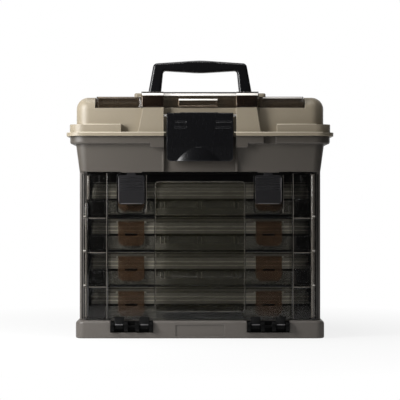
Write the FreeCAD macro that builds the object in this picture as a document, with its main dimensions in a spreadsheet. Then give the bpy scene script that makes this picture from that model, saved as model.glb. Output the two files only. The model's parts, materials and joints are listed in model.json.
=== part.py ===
"""Fishing tackle cabinet: a rack of four utility boxes behind a drop-down door,
with a bulk case above it and a hinged lid that carries the handle.

Frame: +Z up, front towards -Y, origin on the floor under the middle of the base.
All lengths are millimetres. Every size is a cell of the sheet "Sizes".
"""
import FreeCAD, Part

import math
import os
import re

import Sketcher

SIZES = {
    # clearances
    "seat_gap": 0.3, "pin_gap": 0.05, "side_gap": 0.4,
    # how far cuts run past a face and roots reach into one, and shares of a round
    "over": 1, "sink": 0.5, "hair": 0.01, "front_reach": 40, "round_share": 0.98,
    "ear_share": 0.92, "head_share": 0.8,
    # smaller rounds, roots and margins
    "ear_drop": 2, "band_corner": 24, "core_corner": 21, "core_corner_in": 17,
    "hinge_clear": 3, "hinge_room": 10, "hinge_root": 4, "wing_slant": 6.3,
    "grip_end_round": 7.2, "lift_back": -139, "door_corner_out": 5,
    "door_corner_in": 2.5, "channel_over": 5, "bulge_gap": 3, "panel_line_tall": 1.6,
    "knuckle_drop": 2, "knuckle_root": 5, "tongue_root": 6, "ridge_margin": 2,
    # base
    "base_wide": 400, "base_deep": 260, "base_tall": 28.5, "base_corner": 14,
    "base_shoulder": 5.5, "base_edge": 2.5, "base_wall": 3, "base_deck": 3, "base_rib": 2.5,
    "base_front_block": 16, "mark_wide": 78, "mark_low": 3.5, "mark_top": 21.8, "mark_cut": 1.2,
    # rack
    "rack_wide": 388, "rack_tall": 239, "rack_wall": 3, "rack_corner": 12, "rack_front": -115.5,
    "rack_back": 125.5, "return_wide": 16.5, "lip_wide": 12.5, "flange_wide": 17,
    "flange_half_long": 96, "screw_half_x": 181, "screw_half_y": 80, "screw_shank": 2,
    "screw_head": 3.6, "screw_head_tall": 2.4, "screw_long": 6, "field_cut": 1,
    "field_margin": 18, "field_corner": 10,
    "rail_reach": 38.5, "rail_tall": 22, "rail_wall": 2.5, "rail_front": -109.5, "rail_back": 112,
    # utility boxes
    "box_wide": 355.6, "box_front": -111, "box_back": 116.5, "box_pitch": 56.6,
    "box_low": 28.9,
    "tray_wide": 302, "tray_tall": 24.2, "rim_thick": 2, "tray_wall": 2, "tray_inset": 3,
    "tray_corner": 5, "lid_tall": 27.6, "box_rim_tall": 6.1, "box_rim_inset": 2,
    "box_top_inset": 3.5, "box_top_tall": 7.2, "bead_up": 11.7, "bead_tall": 1.8,
    "bead_out": 1, "box_skin": 1.8, "box_corner": 9,
    "guide_pitch": 57, "guide_wide": 6.4, "guide_slot": 1.8, "guide_proud": 2,
    "guide_tall": 18, "plate_thick": 1.4, "plate_tall": 19,
    "clip_half_x": 111, "clip_wide": 42, "clip_tall": 38, "clip_thick": 2, "clip_axis_up": 43.7,
    "clip_front": -114, "clip_pivot": 2.2, "clip_pin": 1.4, "clip_ear": 2.6,
    "clip_chamfer": 6, "clip_slot_wide": 20, "clip_slot_tall": 3.7, "clip_slot_up": 20.2,
    "rear_knuckle": 2.6, "rear_pin": 1, "rear_axis_out": 2.9, "rear_half_x": 110,
    "rear_knuckle_long": 20,
    # upper case
    "case_tall": 56.5, "case_half_wide_low": 194, "case_half_deep_low": 127, "case_flare": 7.5,
    "case_corner_low": 13, "case_corner_top": 19, "case_wall": 3, "belt_out": 7.5,
    "belt_tall": 12.3, "belt_corner": 25, "belt_round": 3.5, "recess_half": 57.5,
    "recess_back": -126, "block_low": 38.5, "block_left_out": -79.2, "block_right_out": 76.8,
    "belt_gap_from": 101.6, "belt_gap_to": 121.3, "bulge_half": 17, "bulge_drop": 1.4,
    "bulge_deep": 5, "strike_half": 42, "strike_low": 297.3, "strike_thick": 4,
    "strike_out": 9, "strike_round": 1.5,
    # lid
    "lid_half_wide": 199, "lid_half_deep": 132, "lid_tall_all": 62.7, "lid_corner": 21,
    "lid_shoulder": 19, "lid_wall": 3, "lid_flange_out": 15.5, "lid_flange_thick": 5.7,
    "band_out": 10.5, "band_tall": 13, "band_left_in": -126, "band_right_in": 123,
    "outer_corner": 27, "tower_in": 168, "rim_up": 369.5, "bay_floor": 335, "bay_rear": -16,
    "ledge_up": 366, "spine_half_wide": 110, "spine_half_deep": 13, "spine_top": 401,
    "pillar_left_out": -99, "pillar_left_top": -91, "pillar_right_out": 97,
    "pillar_right_top": 91, "pillar_in": 58, "tray_recess_back": 84, "tray_recess_floor": 372.5,
    "cheek": 2.7, "bay_pitch": 84, "bay_plate": 1.8, "bay_plate_top": 363,
    # lid hinge
    "hinge_y": 151, "hinge_z": 324.3, "hinge_out": 5.5, "hinge_pin": 2, "hinge_half_x": 118,
    "hinge_knuckle": 20,
    # top cover
    "cover_skin": 2.5, "cover_gap": 2.5, "cover_low": 370, "cover_top": 387.4,
    "cover_raise_top": 394.4, "cover_raise_half": 94, "cover_back": -20, "cover_axis_y": -27,
    "cover_axis_z": 383.5, "cover_stub": 2.2, "cover_stub_long": 4.6, "catch_left": -35,
    "catch_right": 29, "catch_low": 371.5, "catch_top": 384, "catch_out": 4,
    "catch_round": 1.4, "dip_half": 16,
    "dip_drop": 1.2, "dip_deep": 8, "cover_round": 4,
    # handle
    "handle_pivot_z": 383, "handle_half_deep": 10, "leg_in": 65.3, "leg_out": 86.7,
    "grip_out": 77.9, "grip_end_top": 451.3, "grip_top": 456.6, "grip_end_low": 438.7,
    "grip_low": 435, "grip_in": 61.7, "leg_bottom": 373, "grip_round": 4.5,
    "handle_pin": 3, "handle_crown": 8, "grip_arch": 190, "leg_straight": 2,
    # main latch
    "latch_half": 53, "latch_low": 284, "latch_top": 362, "latch_front": -145,
    "latch_back": -137, "latch_axis_y": -139.5, "latch_axis_z": 357, "latch_barrel": 4.4,
    "latch_pin": 1.8, "latch_pin_reach": 63, "latch_skin": 3, "latch_corner": 7,
    "latch_bulge": 1.6, "hook_half": 34, "hook_low": 290.6, "hook_back": -136,
    "bow_low": 24, "bow_high": 22, "bow_round": 40,
    "lift_x": -2, "lift_half": 35, "lift_out": 8.2, "lift_lean": 5, "lift_tall": 22,
    "lift_front": -150, "hollow_low": 311, "groove_tall": 2.2, "groove_deep": 0.9,
    "groove_left_from": -41, "groove_left_to": -22, "groove_right_from": 25,
    "groove_right_to": 49, "groove_drop": 16, "groove_gap": 9.2,
    "crest_left": -32, "crest_right": 29, "crest_tall": 1.6,
    # front door
    "door_half_wide": 187, "door_low": 29.3, "door_top": 266.8, "door_wall": 2.5,
    "door_face": -125.5, "door_step": 3, "door_centre_half": 147.5, "door_back": -116.5,
    "door_corner": 7, "channel_half": 24, "channel_low": 198.4, "channel_deep": 2,
    "channel_corner": 8, "channel_top_drop": 1.6, "panel_half": 72, "panel_low": 42.6,
    "panel_top": 251.7, "panel_corner": 6, "panel_cut": 0.8, "panel_line": 98.6,
    "rib_tall": 3, "rib_out": 1.2, "lug_wide": 6.4, "lug_tall": 5.6, "lug_out": 1.6,
    # door hinges
    "door_axis_y": -130, "door_axis_z": 19.4, "ear_round": 8.4, "door_pin": 2,
    "door_hinge_x": 109.5, "bracket_half": 34, "notch_floor": 9.5, "notch_deep": 10.5,
    "bracket_plate": 3, "door_knuckle": 4.4, "ear_a": 5.7, "ear_b_from": 22, "ear_b_to": 28,
    # door latches
    "tab_x": 110, "tab_half": 21, "tab_low": 215.4, "tab_top": 261.8, "tab_thick": 4,
    "tab_corner": 4, "tongue_half": 7, "tongue_top": 265.7, "tab_travel": 16, "stem_half": 3.7,
    "stem_low": 229, "stem_tall": 9, "keeper_half": 7.5, "keeper_thick": 1.5,
    "ridge_pitch": 2.4, "ridge_deep": 0.6, "ridge_low": 236.5,
}
BOXES = 4
SIDES = {"left": -1, "right": 1}
RACK_TOP = "(base_tall + rack_tall)"
CASE_TOP = "(base_tall + rack_tall + case_tall)"
LID_LOW = "(base_tall + rack_tall + case_tall + seat_gap)"
LID_TOP = "(base_tall + rack_tall + case_tall + seat_gap + lid_tall_all)"
FLANGE_TOP = "(base_tall + rack_tall + case_tall + seat_gap + lid_flange_thick)"
BAND_TOP = "(base_tall + rack_tall + case_tall + seat_gap + lid_flange_thick + band_tall)"

doc = FreeCAD.newDocument("TackleCabinet")
sheet = doc.addObject("Spreadsheet::Sheet", "Sizes")
for row, (size_name, size) in enumerate(SIZES.items(), 1):
    sheet.set(f"A{row}", size_name.replace("_", " "))
    sheet.set(f"B{row}", str(size))
    sheet.setAlias(f"B{row}", size_name)
doc.recompute()
nodes = []


# ---------------------------------------------------------------- helpers
def bound(text):
    """Return an expression with each size name pointed at the sheet."""
    return re.sub(r"[a-z_]+", lambda m: f"Sizes.{m[0]}" if m[0] in SIZES else m[0], str(text))


def value(text):
    """Return what an expression is worth now."""
    return float(sheet.evalExpression(bound(text)))


def bind(item, prop, text):
    """Tie a property of an object to an expression."""
    item.setExpression(prop, bound(text))


def new_body(name):
    """Start a body whose label is the node's name."""
    body = doc.addObject("PartDesign::Body", name)
    body.Label = name
    return body


def origin(body, role):
    """Return a plane or axis of the body's own origin, with no sub-element."""
    return (next(f for f in body.Origin.OriginFeatures if f.Role == role), [""])


def sketch_on(body, name, plane, offset):
    """Place a sketch parallel to an origin plane, at a height along the world axis."""
    sketch = body.newObject("Sketcher::SketchObject", name + "_outline")
    sketch.AttachmentSupport = [(origin(body, plane + "_Plane")[0], "")]
    sketch.MapMode = "FlatFace"
    bind(sketch, "AttachmentOffset.Base.z", f"-({offset})" if plane == "XZ" else offset)
    return sketch


def draw(sketch, loops):
    """Draw closed loops and hold every point of them by expressions.

    A loop is a list of corners, or a circle given as the tuple (u, v, radius). A corner is
    (u, v) or (u, v, radius).
    """
    rules, sizes = [], []

    def hold(kind, where, text):
        rules.append(Sketcher.Constraint(kind, *where, value(text)))
        if re.search("[a-z]", str(text)):
            sizes.append((len(rules) - 1, text))

    def hold_point(where, u, v):
        hold("DistanceX", where, u)
        hold("DistanceY", where, v)

    for loop in loops:
        if isinstance(loop, tuple):
            centre = FreeCAD.Vector(value(loop[0]), value(loop[1]), 0)
            circle = Part.Circle(centre, FreeCAD.Vector(0, 0, 1), value(loop[2]))
            ring = sketch.addGeometry(circle)
            hold_point((ring, 3), loop[0], loop[1])
            hold("Radius", (ring,), loop[2])
            continue
        spots = [FreeCAD.Vector(value(c[0]), value(c[1]), 0) for c in loop]
        entries, exits, arcs = [], [], {}
        for i, corner in enumerate(loop):
            entry = leave = spots[i]
            if len(corner) == 3:
                back = (spots[i - 1] - spots[i]).normalize()
                ahead = (spots[(i + 1) % len(loop)] - spots[i]).normalize()
                half = back.getAngle(ahead) / 2
                radius = value(corner[2])
                entry = spots[i] + back * (radius / math.tan(half))
                leave = spots[i] + ahead * (radius / math.tan(half))
                inward = (back + ahead).normalize()
                middle = spots[i] + inward * (radius / math.sin(half) - radius)
                arcs[i] = sketch.addGeometry(Part.Arc(entry, middle, leave))
            entries.append(entry)
            exits.append(leave)
        lines = [sketch.addGeometry(Part.LineSegment(exits[i], entries[(i + 1) % len(loop)]))
                 for i in range(len(loop))]
        for i, corner in enumerate(loop):
            before, after = lines[i - 1], lines[i]
            if i not in arcs:
                rules.append(Sketcher.Constraint("Coincident", before, 2, after, 1))
                hold_point((after, 1), corner[0], corner[1])
                continue
            arc = arcs[i]
            near = 1 if sketch.getPoint(arc, 1).distanceToPoint(entries[i]) < 1e-6 else 2
            rules.append(Sketcher.Constraint("Tangent", before, 2, arc, near))
            rules.append(Sketcher.Constraint("Tangent", arc, 3 - near, after, 1))
            hold("Radius", (arc,), corner[2])
            point = sketch.addGeometry(Part.Point(spots[i]), True)
            rules.append(Sketcher.Constraint("PointOnObject", point, 1, before))
            rules.append(Sketcher.Constraint("PointOnObject", point, 1, after))
            hold_point((point, 1), corner[0], corner[1])
    sketch.addConstraint(rules)
    for number, text in sizes:
        bind(sketch, f"Constraints[{number}]", text)


def extrude(body, name, plane, loops, low, high, cut=False, taper=None):
    """Pad or pocket closed loops between two positions along the plane's world axis.

    A loop is a list of corners, or a circle given as (u, v, radius).
    """
    along_minus = (plane == "XZ") != cut
    sketch = sketch_on(body, name, plane, high if along_minus else low)
    draw(sketch, loops)
    feature = body.newObject("PartDesign::Pocket" if cut else "PartDesign::Pad", name)
    feature.Profile = sketch
    bind(feature, "Length", f"({high}) - ({low})")
    if taper is not None:
        bind(feature, "TaperAngle", taper)
    return feature


def rectangle(u_low, u_high, v_low, v_high, radius=None):
    """Return the four corners of a rectangle, rounded if a radius is given."""
    corners = [(u_low, v_low), (u_high, v_low), (u_high, v_high), (u_low, v_high)]
    return [c + (radius,) for c in corners] if radius else corners


def centred(half_u, half_v, radius=None):
    """Return a rectangle about the origin."""
    return rectangle(f"-({half_u})", half_u, f"-({half_v})", half_v, radius)


def cutter(body, name, plane, loops, low, high, **extra):
    """Pocket closed loops between two positions."""
    return extrude(body, name, plane, loops, low, high, cut=True, **extra)


def repeat(body, name, features, axis, pitch, count, second=None):
    """Repeat features along an origin axis, or as a grid with a second axis."""
    pattern = body.newObject("PartDesign::LinearPattern", name)
    pattern.Originals = features
    pattern.Direction = origin(body, axis + "_Axis")
    pattern.Occurrences = count
    bind(pattern, "Length", f"({pitch}) * {count - 1}")
    if second:
        axis, pitch, count = second
        pattern.Direction2 = origin(body, axis + "_Axis")
        pattern.Occurrences2 = count
        bind(pattern, "Length2", f"({pitch}) * {count - 1}")
    body.Tip = pattern
    return pattern


def mirror(body, name, features):
    """Repeat features on the other side of the middle plane."""
    image = body.newObject("PartDesign::Mirrored", name)
    image.Originals = features
    image.MirrorPlane = origin(body, "YZ_Plane")
    body.Tip = image
    return image


def soften(body, name, radius, wanted, kind="Fillet"):
    """Fillet or chamfer the edges of the tip that a test picks."""
    doc.recompute()
    base = body.Tip
    edges = [f"Edge{n}" for n, edge in enumerate(base.Shape.Edges, 1) if wanted(edge)]
    if not edges:
        raise ValueError(f"{name}: no edge fits")
    feature = body.newObject("PartDesign::" + kind, name)
    feature.Base = (base, edges)
    bind(feature, "Radius" if kind == "Fillet" else "Size", radius)
    return feature


def level(edge, height, axis="Z"):
    """Say whether an edge lies whole at one position along an axis."""
    box = edge.BoundBox
    low, high = getattr(box, axis + "Min"), getattr(box, axis + "Max")
    return abs(low - value(height)) < 0.01 and abs(high - value(height)) < 0.01


def runs_along(edge, axis):
    """Say whether an edge is straight along a world axis."""
    box = edge.BoundBox
    spans = {"X": box.XLength, "Y": box.YLength, "Z": box.ZLength}
    return spans.pop(axis) > 0.1 and max(spans.values()) < 0.01


def finish(item, name, lift=None):
    """Name a finished piece and keep it for export."""
    item.Label = name
    if lift is not None:
        bind(item, "Placement.Base.z", lift)
    nodes.append((name, item))


def copy_up(name, original, count):
    """Place another piece like an earlier one, a number of box pitches higher."""
    item = doc.addObject("Part::Compound", name)
    item.Links = [original]
    finish(item, name, f"box_pitch * {count}")


def boolean(kind, name, base, tools):
    """Cut, fuse or intersect objects into a new one."""
    if kind == "Cut":
        tool = tools[0]
        if len(tools) > 1:
            tool = doc.addObject("Part::MultiFuse", name + "_tools")
            tool.Shapes = tools
        item = doc.addObject("Part::Cut", name)
        item.Base, item.Tool = base, tool
        return item
    item = doc.addObject("Part::MultiFuse" if kind == "Fuse" else "Part::MultiCommon", name)
    item.Shapes = [base] + tools
    return item


# ---------------------------------------------------------------- base
def base_tray():
    """Moulded base: rounded block, ribbed cells below, notches for the door hinges."""
    body = new_body("base_tray")
    half_w, half_d = "base_wide / 2", "base_deep / 2"
    extrude(body, "block", "XY", [centred(half_w, half_d, "base_corner")], "0", "base_tall")
    soften(body, "shoulder", "base_shoulder", lambda e: level(e, "base_tall"))
    soften(body, "foot_edge", "base_edge", lambda e: level(e, "0"))
    columns, rows = 4, 3
    left = "(-base_wide / 2 + base_wall)"
    front = "(-base_deep / 2 + base_front_block)"
    cell_w = f"((base_wide - 2 * base_wall - {columns - 1} * base_rib) / {columns})"
    cell_d = f"((base_deep - base_front_block - base_wall - {rows - 1} * base_rib) / {rows})"
    cell = rectangle(left, f"{left} + {cell_w}", front, f"{front} + {cell_d}",
                     "base_corner - base_wall")
    first = cutter(body, "cell", "XY", [cell], "0", "base_tall - base_deck")
    repeat(body, "cells", [first], "X", f"{cell_w} + base_rib", columns,
           second=("Y", f"{cell_d} + base_rib", rows))
    notches = []
    for side in SIDES.values():
        middle = f"{side} * door_hinge_x"
        notches.append(rectangle(f"{middle} - bracket_half - side_gap",
                                 f"{middle} + bracket_half + side_gap",
                                 "notch_floor", "base_tall + over"))
    cutter(body, "hinge_notches", "XZ", notches, "-base_deep / 2 - over",
           "-base_deep / 2 + notch_deep")
    mark = rectangle("-mark_wide / 2", "mark_wide / 2", "mark_low", "mark_top", "base_edge")
    cutter(body, "front_mark", "XZ", [mark], "-base_deep / 2 - over", "-base_deep / 2 + mark_cut")
    cutter(body, "screw_holes", "XY", screw_circles(), "base_tall - base_deck - over",
           "base_tall + over")
    finish(body, "base_tray")


def screw_circles():
    """Return the four screw holes that panel flanges share with base and case."""
    return [(f"{sx} * screw_half_x", f"{sy} * screw_half_y", "screw_shank + pin_gap")
            for sx in SIDES.values() for sy in SIDES.values()]


# ---------------------------------------------------------------- rack
def rail_top(box):
    """Return the height of a rail under the rim of the given box."""
    return f"(box_low + box_pitch * {box} + tray_tall - rim_thick - seat_gap)"


def side_panel(name, side):
    """Rack wall wrapped round the rear corner, with flanges and four hollow box rails."""
    body = new_body(name)
    half, wall = "rack_wide / 2", "rack_wall"
    inner = f"({half} - {wall})"
    section = [
        (f"{side} * ({half} - lip_wide)", "rack_front"),
        (f"{side} * {half}", "rack_front", wall),
        (f"{side} * {half}", "rack_back", "rack_corner"),
        (f"{side} * ({half} - return_wide)", "rack_back"),
        (f"{side} * ({half} - return_wide)", f"rack_back - {wall}"),
        (f"{side} * {inner}", f"rack_back - {wall}", f"rack_corner - {wall}"),
        (f"{side} * {inner}", f"rack_front + {wall}"),
        (f"{side} * ({half} - lip_wide)", f"rack_front + {wall}"),
    ]
    extrude(body, "wall", "XY", [section], "base_tall", RACK_TOP)
    flange = rectangle(f"{side} * ({inner} - flange_wide)", f"{side} * {inner}",
                       "-flange_half_long", "flange_half_long")
    extrude(body, "foot_flange", "XY", [flange], "base_tall", f"base_tall + {wall}")
    extrude(body, "top_flange", "XY", [flange], f"{RACK_TOP} - {wall}", RACK_TOP)
    top = rail_top(0)
    reach = f"({inner} - rail_reach)"
    ledge = [
        (f"{side} * {inner}", top),
        (f"{side} * {reach}", top, "rail_wall / 2"),
        (f"{side} * {reach}", f"{top} - rail_tall"),
        (f"{side} * ({reach} + rail_wall)", f"{top} - rail_tall"),
        (f"{side} * ({reach} + rail_wall)", f"{top} - rail_wall"),
        (f"{side} * {inner}", f"{top} - rail_wall"),
    ]
    rail = extrude(body, "rail", "XZ", [ledge], "rail_front", "rail_back")
    cap_outline = [
        (f"{side} * {inner}", top),
        (f"{side} * {reach}", top, "rail_wall / 2"),
        (f"{side} * {reach}", f"{top} - rail_tall"),
        (f"{side} * {inner}", f"{top} - rail_tall"),
    ]
    cap = extrude(body, "rail_cap", "XZ", [cap_outline], "rail_front",
                  "rail_front + rail_wall")
    repeat(body, "rails", [rail, cap], "Z", "box_pitch", BOXES)
    field = rectangle("rack_front + field_margin", "rack_back - field_margin",
                      "base_tall + field_margin", f"{RACK_TOP} - field_margin", "field_corner")
    low, high = f"{half} - field_cut", f"{half} + over"
    if side < 0:
        low, high = f"-({high})", f"-({low})"
    cutter(body, "outer_field", "YZ", [field], low, high)
    for spot, floor in (("foot", "base_tall"), ("top", f"{RACK_TOP} - {wall}")):
        holes = [c for c in screw_circles() if c[0].startswith(f"{side} ")]
        cutter(body, f"{spot}_holes", "XY", holes, f"{floor} - over", f"{floor} + {wall} + over")
    finish(body, name)


def back_panel():
    """Rear wall of the rack, between the returns of the side panels."""
    body = new_body("back_panel")
    half = "(rack_wide / 2 - return_wide - seat_gap)"
    sheet_outline = rectangle(f"-{half}", half, "base_tall", RACK_TOP)
    extrude(body, "plate", "XZ", [sheet_outline], "rack_back - rack_wall", "rack_back")
    fields = [
        rectangle(f"-{half} + field_margin", "-field_margin / 2", "base_tall + field_margin",
                  f"{RACK_TOP} - field_margin", "field_corner"),
        rectangle("field_margin / 2", f"{half} - field_margin", "base_tall + field_margin",
                  f"{RACK_TOP} - field_margin", "field_corner"),
    ]
    cutter(body, "fields", "XZ", fields, "rack_back - field_cut", "rack_back + over")
    finish(body, "back_panel")


def panel_screws():
    """Pan-head screws through the flanges: four into the base, four into the case."""
    screws = []
    flange_up = "base_tall + rack_wall"
    flange_down = f"{RACK_TOP} - rack_wall"
    for sx in SIDES.values():
        for sy in SIDES.values():
            for spot, head_z, shank_z in (
                    ("foot", flange_up, f"{flange_up} - screw_long"),
                    ("top", f"{flange_down} - screw_head_tall", flange_down)):
                name = f"screw_{spot}_{'r' if sx > 0 else 'l'}{'b' if sy > 0 else 'f'}"
                head = doc.addObject("Part::Cone", name + "_head")
                wide, narrow = "screw_head", "screw_head * head_share"
                bind(head, "Radius1", wide if spot == "foot" else narrow)
                bind(head, "Radius2", narrow if spot == "foot" else wide)
                bind(head, "Height", "screw_head_tall")
                shank = doc.addObject("Part::Cylinder", name + "_shank")
                bind(shank, "Radius", "screw_shank")
                bind(shank, "Height", "screw_long")
                for item, height in ((head, head_z), (shank, shank_z)):
                    bind(item, "Placement.Base.x", f"{sx} * screw_half_x")
                    bind(item, "Placement.Base.y", f"{sy} * screw_half_y")
                    bind(item, "Placement.Base.z", height)
                screws.append(boolean("Fuse", name, head, [shank]))
    group = doc.addObject("Part::Compound", "panel_screws")
    group.Links = screws
    finish(group, "panel_screws")


# ---------------------------------------------------------------- utility boxes
def box_tray():
    """Tray of a utility box: narrow tub, wide rim that rides on the rails, divider guides."""
    body = new_body("box_1_tray")
    floor, seam = "box_low", "(box_low + tray_tall)"
    front, back = "(box_front + tray_inset)", "(box_back - tray_inset)"
    half = "(tray_wide / 2)"
    extrude(body, "tub", "XY", [rectangle(f"-{half}", half, front, back, "tray_corner")],
            floor, seam)
    rim = rectangle("-box_wide / 2", "box_wide / 2", "box_front", "box_back", "box_corner")
    extrude(body, "rim", "XY", [rim], f"{seam} - rim_thick", seam)
    middle = f"(({front} + {back}) / 2)"
    wells = [
        rectangle(f"-{half} + tray_wall", f"{half} - tray_wall", f"{front} + tray_wall",
                  f"{middle} - tray_wall / 2", "tray_corner - tray_wall"),
        rectangle(f"-{half} + tray_wall", f"{half} - tray_wall", f"{middle} + tray_wall / 2",
                  f"{back} - tray_wall", "tray_corner - tray_wall"),
    ]
    cutter(body, "wells", "XY", wells, f"{floor} + tray_wall", seam)
    guides = []
    shelves = [(f"{front} + tray_wall", 1), (f"{middle} - tray_wall / 2", -1),
               (f"{middle} + tray_wall / 2", 1), (f"{back} - tray_wall", -1)]
    for wall_y, way in shelves:
        for hand in SIDES.values():
            x_a = f"-2 * guide_pitch + {hand} * guide_slot / 2"
            x_b = f"-2 * guide_pitch + {hand} * guide_wide / 2"
            y_a, y_b = wall_y, f"{wall_y} + {way} * guide_proud"
            guides.append(rectangle(x_a, x_b, y_a, y_b))
    first = extrude(body, "guides", "XY", guides, f"{floor} + tray_wall",
                    f"{floor} + tray_wall + guide_tall")
    repeat(body, "guide_rows", [first], "X", "guide_pitch", 5)
    rear_knuckles(body, seam, "tray")
    finish(body, "box_1_tray")
    return body


def rear_knuckles(body, seam, part):
    """Add this part's two rear hinge knuckles, bored for the pins."""
    axis_y, round_off = "(box_back + rear_axis_out)", "rear_knuckle * round_share"
    inner = 0 if part == "tray" else 1
    sign = -1 if part == "tray" else 1
    low = f"(rear_half_x + {inner} * (rear_knuckle_long + seat_gap))"
    outline = [("box_back - over", seam), (f"{axis_y} - rear_knuckle", seam),
               (f"{axis_y} - rear_knuckle", f"{seam} - {sign} * rear_knuckle", round_off),
               (f"{axis_y} + rear_knuckle", f"{seam} - {sign} * rear_knuckle", round_off),
               (f"{axis_y} + rear_knuckle", f"{seam} + {sign} * rear_knuckle", round_off),
               ("box_back - over", f"{seam} + {sign} * rear_knuckle")]
    knuckle = extrude(body, "rear_knuckle", "YZ",
                      [outline, (axis_y, seam, "rear_pin + pin_gap")],
                      low, f"{low} + rear_knuckle_long")
    mirror(body, "rear_knuckles", [knuckle])


def box_lid():
    """Lid of a utility box: rim, inset body and top, hollow, with clip ears in front."""
    body = new_body("box_1_lid")
    seam, top = "(box_low + tray_tall)", "(box_low + tray_tall + lid_tall)"
    shoulder = f"({top} - box_top_tall)"

    def plan(inset):
        return rectangle(f"-box_wide / 2 + {inset}", f"box_wide / 2 - {inset}",
                         f"box_front + {inset}", f"box_back - {inset}",
                         f"box_corner - {inset}")
    second = "box_rim_inset"
    third = "(box_rim_inset + box_top_inset)"
    extrude(body, "rim", "XY", [plan("0")], seam, f"{seam} + box_rim_tall")
    extrude(body, "body", "XY", [plan(second)], seam, shoulder)
    extrude(body, "top", "XY", [plan(third)], shoulder, top)
    soften(body, "top_edge", "box_skin", lambda e: level(e, top))
    extrude(body, "bead", "XY", [plan(f"({second} - bead_out)")], f"{seam} + bead_up",
            f"{seam} + bead_up + bead_tall")
    cutter(body, "hollow", "XY", [plan(f"({second} + box_skin)")], f"{seam} - over",
           f"{shoulder} - box_skin")
    cutter(body, "crown", "XY", [plan(f"({third} + box_skin)")], f"{shoulder} - box_skin - over",
           f"{top} - box_skin")
    axis_z, axis_y = "(box_low + clip_axis_up)", "(clip_front + clip_pivot)"
    round_off = "clip_pivot * round_share"
    ear_outline = [(f"box_front + {second} + over", f"{axis_z} - clip_pivot - ear_drop"),
                   (f"{axis_y} - clip_pivot", f"{axis_z} - clip_pivot", round_off),
                   (f"{axis_y} - clip_pivot", f"{axis_z} + clip_pivot", round_off),
                   (f"box_front + {second} + over", f"{axis_z} + clip_pivot")]
    low = "(clip_half_x + clip_wide / 2 + side_gap)"
    outer = extrude(body, "ear_outer", "YZ",
                    [ear_outline, (axis_y, axis_z, "clip_pin + pin_gap")],
                    low, f"{low} + clip_ear")
    low = "(clip_half_x - clip_wide / 2 - side_gap - clip_ear)"
    inner = extrude(body, "ear_inner", "YZ",
                    [ear_outline, (axis_y, axis_z, "clip_pin + pin_gap")],
                    low, f"{low} + clip_ear")
    mirror(body, "ears", [outer, inner])
    rear_knuckles(body, seam, "lid")
    finish(body, "box_1_lid")
    return body


def box_clip(hand):
    """Brown front clip of a box: plate hung from two stubs, slotted, with cut corners."""
    body = new_body(f"box_1_latch_{hand}")
    middle = f"{SIDES[hand]} * clip_half_x"
    axis_z = "(box_low + clip_axis_up)"
    axis_y = "(clip_front + clip_pivot)"
    low = f"({axis_z} - clip_tall)"
    outline = [(f"{middle} - clip_wide / 2", f"{low} + clip_chamfer"),
               (f"{middle} - clip_wide / 2 + clip_chamfer", low),
               (f"{middle} + clip_wide / 2 - clip_chamfer", low),
               (f"{middle} + clip_wide / 2", f"{low} + clip_chamfer"),
               (f"{middle} + clip_wide / 2", axis_z), (f"{middle} - clip_wide / 2", axis_z)]
    slot = rectangle(f"{middle} - clip_slot_wide / 2", f"{middle} + clip_slot_wide / 2",
                     f"{low} + clip_slot_up - clip_slot_tall", f"{low} + clip_slot_up")
    extrude(body, "plate", "XZ", [outline, slot], "clip_front", "clip_front + clip_thick")
    extrude(body, "barrel", "YZ", [(axis_y, axis_z, "clip_pivot")],
            f"{middle} - clip_wide / 2", f"{middle} + clip_wide / 2")
    extrude(body, "stubs", "YZ", [(axis_y, axis_z, "clip_pin")],
            f"{middle} - clip_wide / 2 - clip_ear", f"{middle} + clip_wide / 2 + clip_ear")
    toe = rectangle(f"{middle} - clip_wide / 4", f"{middle} + clip_wide / 4", low,
                    f"{low} + clip_thick")
    extrude(body, "toe", "XZ", [toe], "clip_front", "clip_front + 2 * clip_thick")
    finish(body, f"box_1_latch_{hand}")
    return body


def box_dividers():
    """Loose plates standing in the guides of a tray, three in each row."""
    front, back = "(box_front + tray_inset)", "(box_back - tray_inset)"
    middle = f"(({front} + {back}) / 2)"
    rows = [(f"({front} + tray_wall + seat_gap)", f"({middle} - tray_wall / 2 - seat_gap)"),
            (f"({middle} + tray_wall / 2 + seat_gap)", f"({back} - tray_wall - seat_gap)")]
    plates = []
    for line, (y_low, y_high) in enumerate(rows):
        for column in (-1, 0, 1):
            plate = doc.addObject("Part::Box", f"box_plate_{line}_{column + 1}")
            bind(plate, "Length", "plate_thick")
            bind(plate, "Width", f"{y_high} - {y_low}")
            bind(plate, "Height", "plate_tall")
            bind(plate, "Placement.Base.x", f"{column} * guide_pitch - plate_thick / 2")
            bind(plate, "Placement.Base.y", y_low)
            bind(plate, "Placement.Base.z", "box_low + tray_wall")
            plates.append(plate)
    group = doc.addObject("Part::Compound", "box_1_dividers")
    group.Links = plates
    finish(group, "box_1_dividers")
    return group


def box_hinge_pins():
    """Two wire pins through the rear knuckles of a box."""
    pins = []
    for hand, side in SIDES.items():
        pin = doc.addObject("Part::Cylinder", f"box_pin_{hand}")
        bind(pin, "Radius", "rear_pin")
        bind(pin, "Height", "2 * rear_knuckle_long + seat_gap")
        start = "rear_half_x" if side > 0 else "-rear_half_x - 2 * rear_knuckle_long - seat_gap"
        bind(pin, "Placement.Base.x", start)
        bind(pin, "Placement.Base.y", "box_back + rear_axis_out")
        bind(pin, "Placement.Base.z", "box_low + tray_tall")
        lay_along_x(pin)
        pins.append(pin)
    group = doc.addObject("Part::Compound", "box_1_hinge_pins")
    group.Links = pins
    finish(group, "box_1_hinge_pins")
    return group


def lay_along_x(rod):
    """Turn an upright cylinder to lie along +X."""
    rod.Placement.Rotation = FreeCAD.Rotation(FreeCAD.Vector(0, 1, 0), 90)


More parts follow.
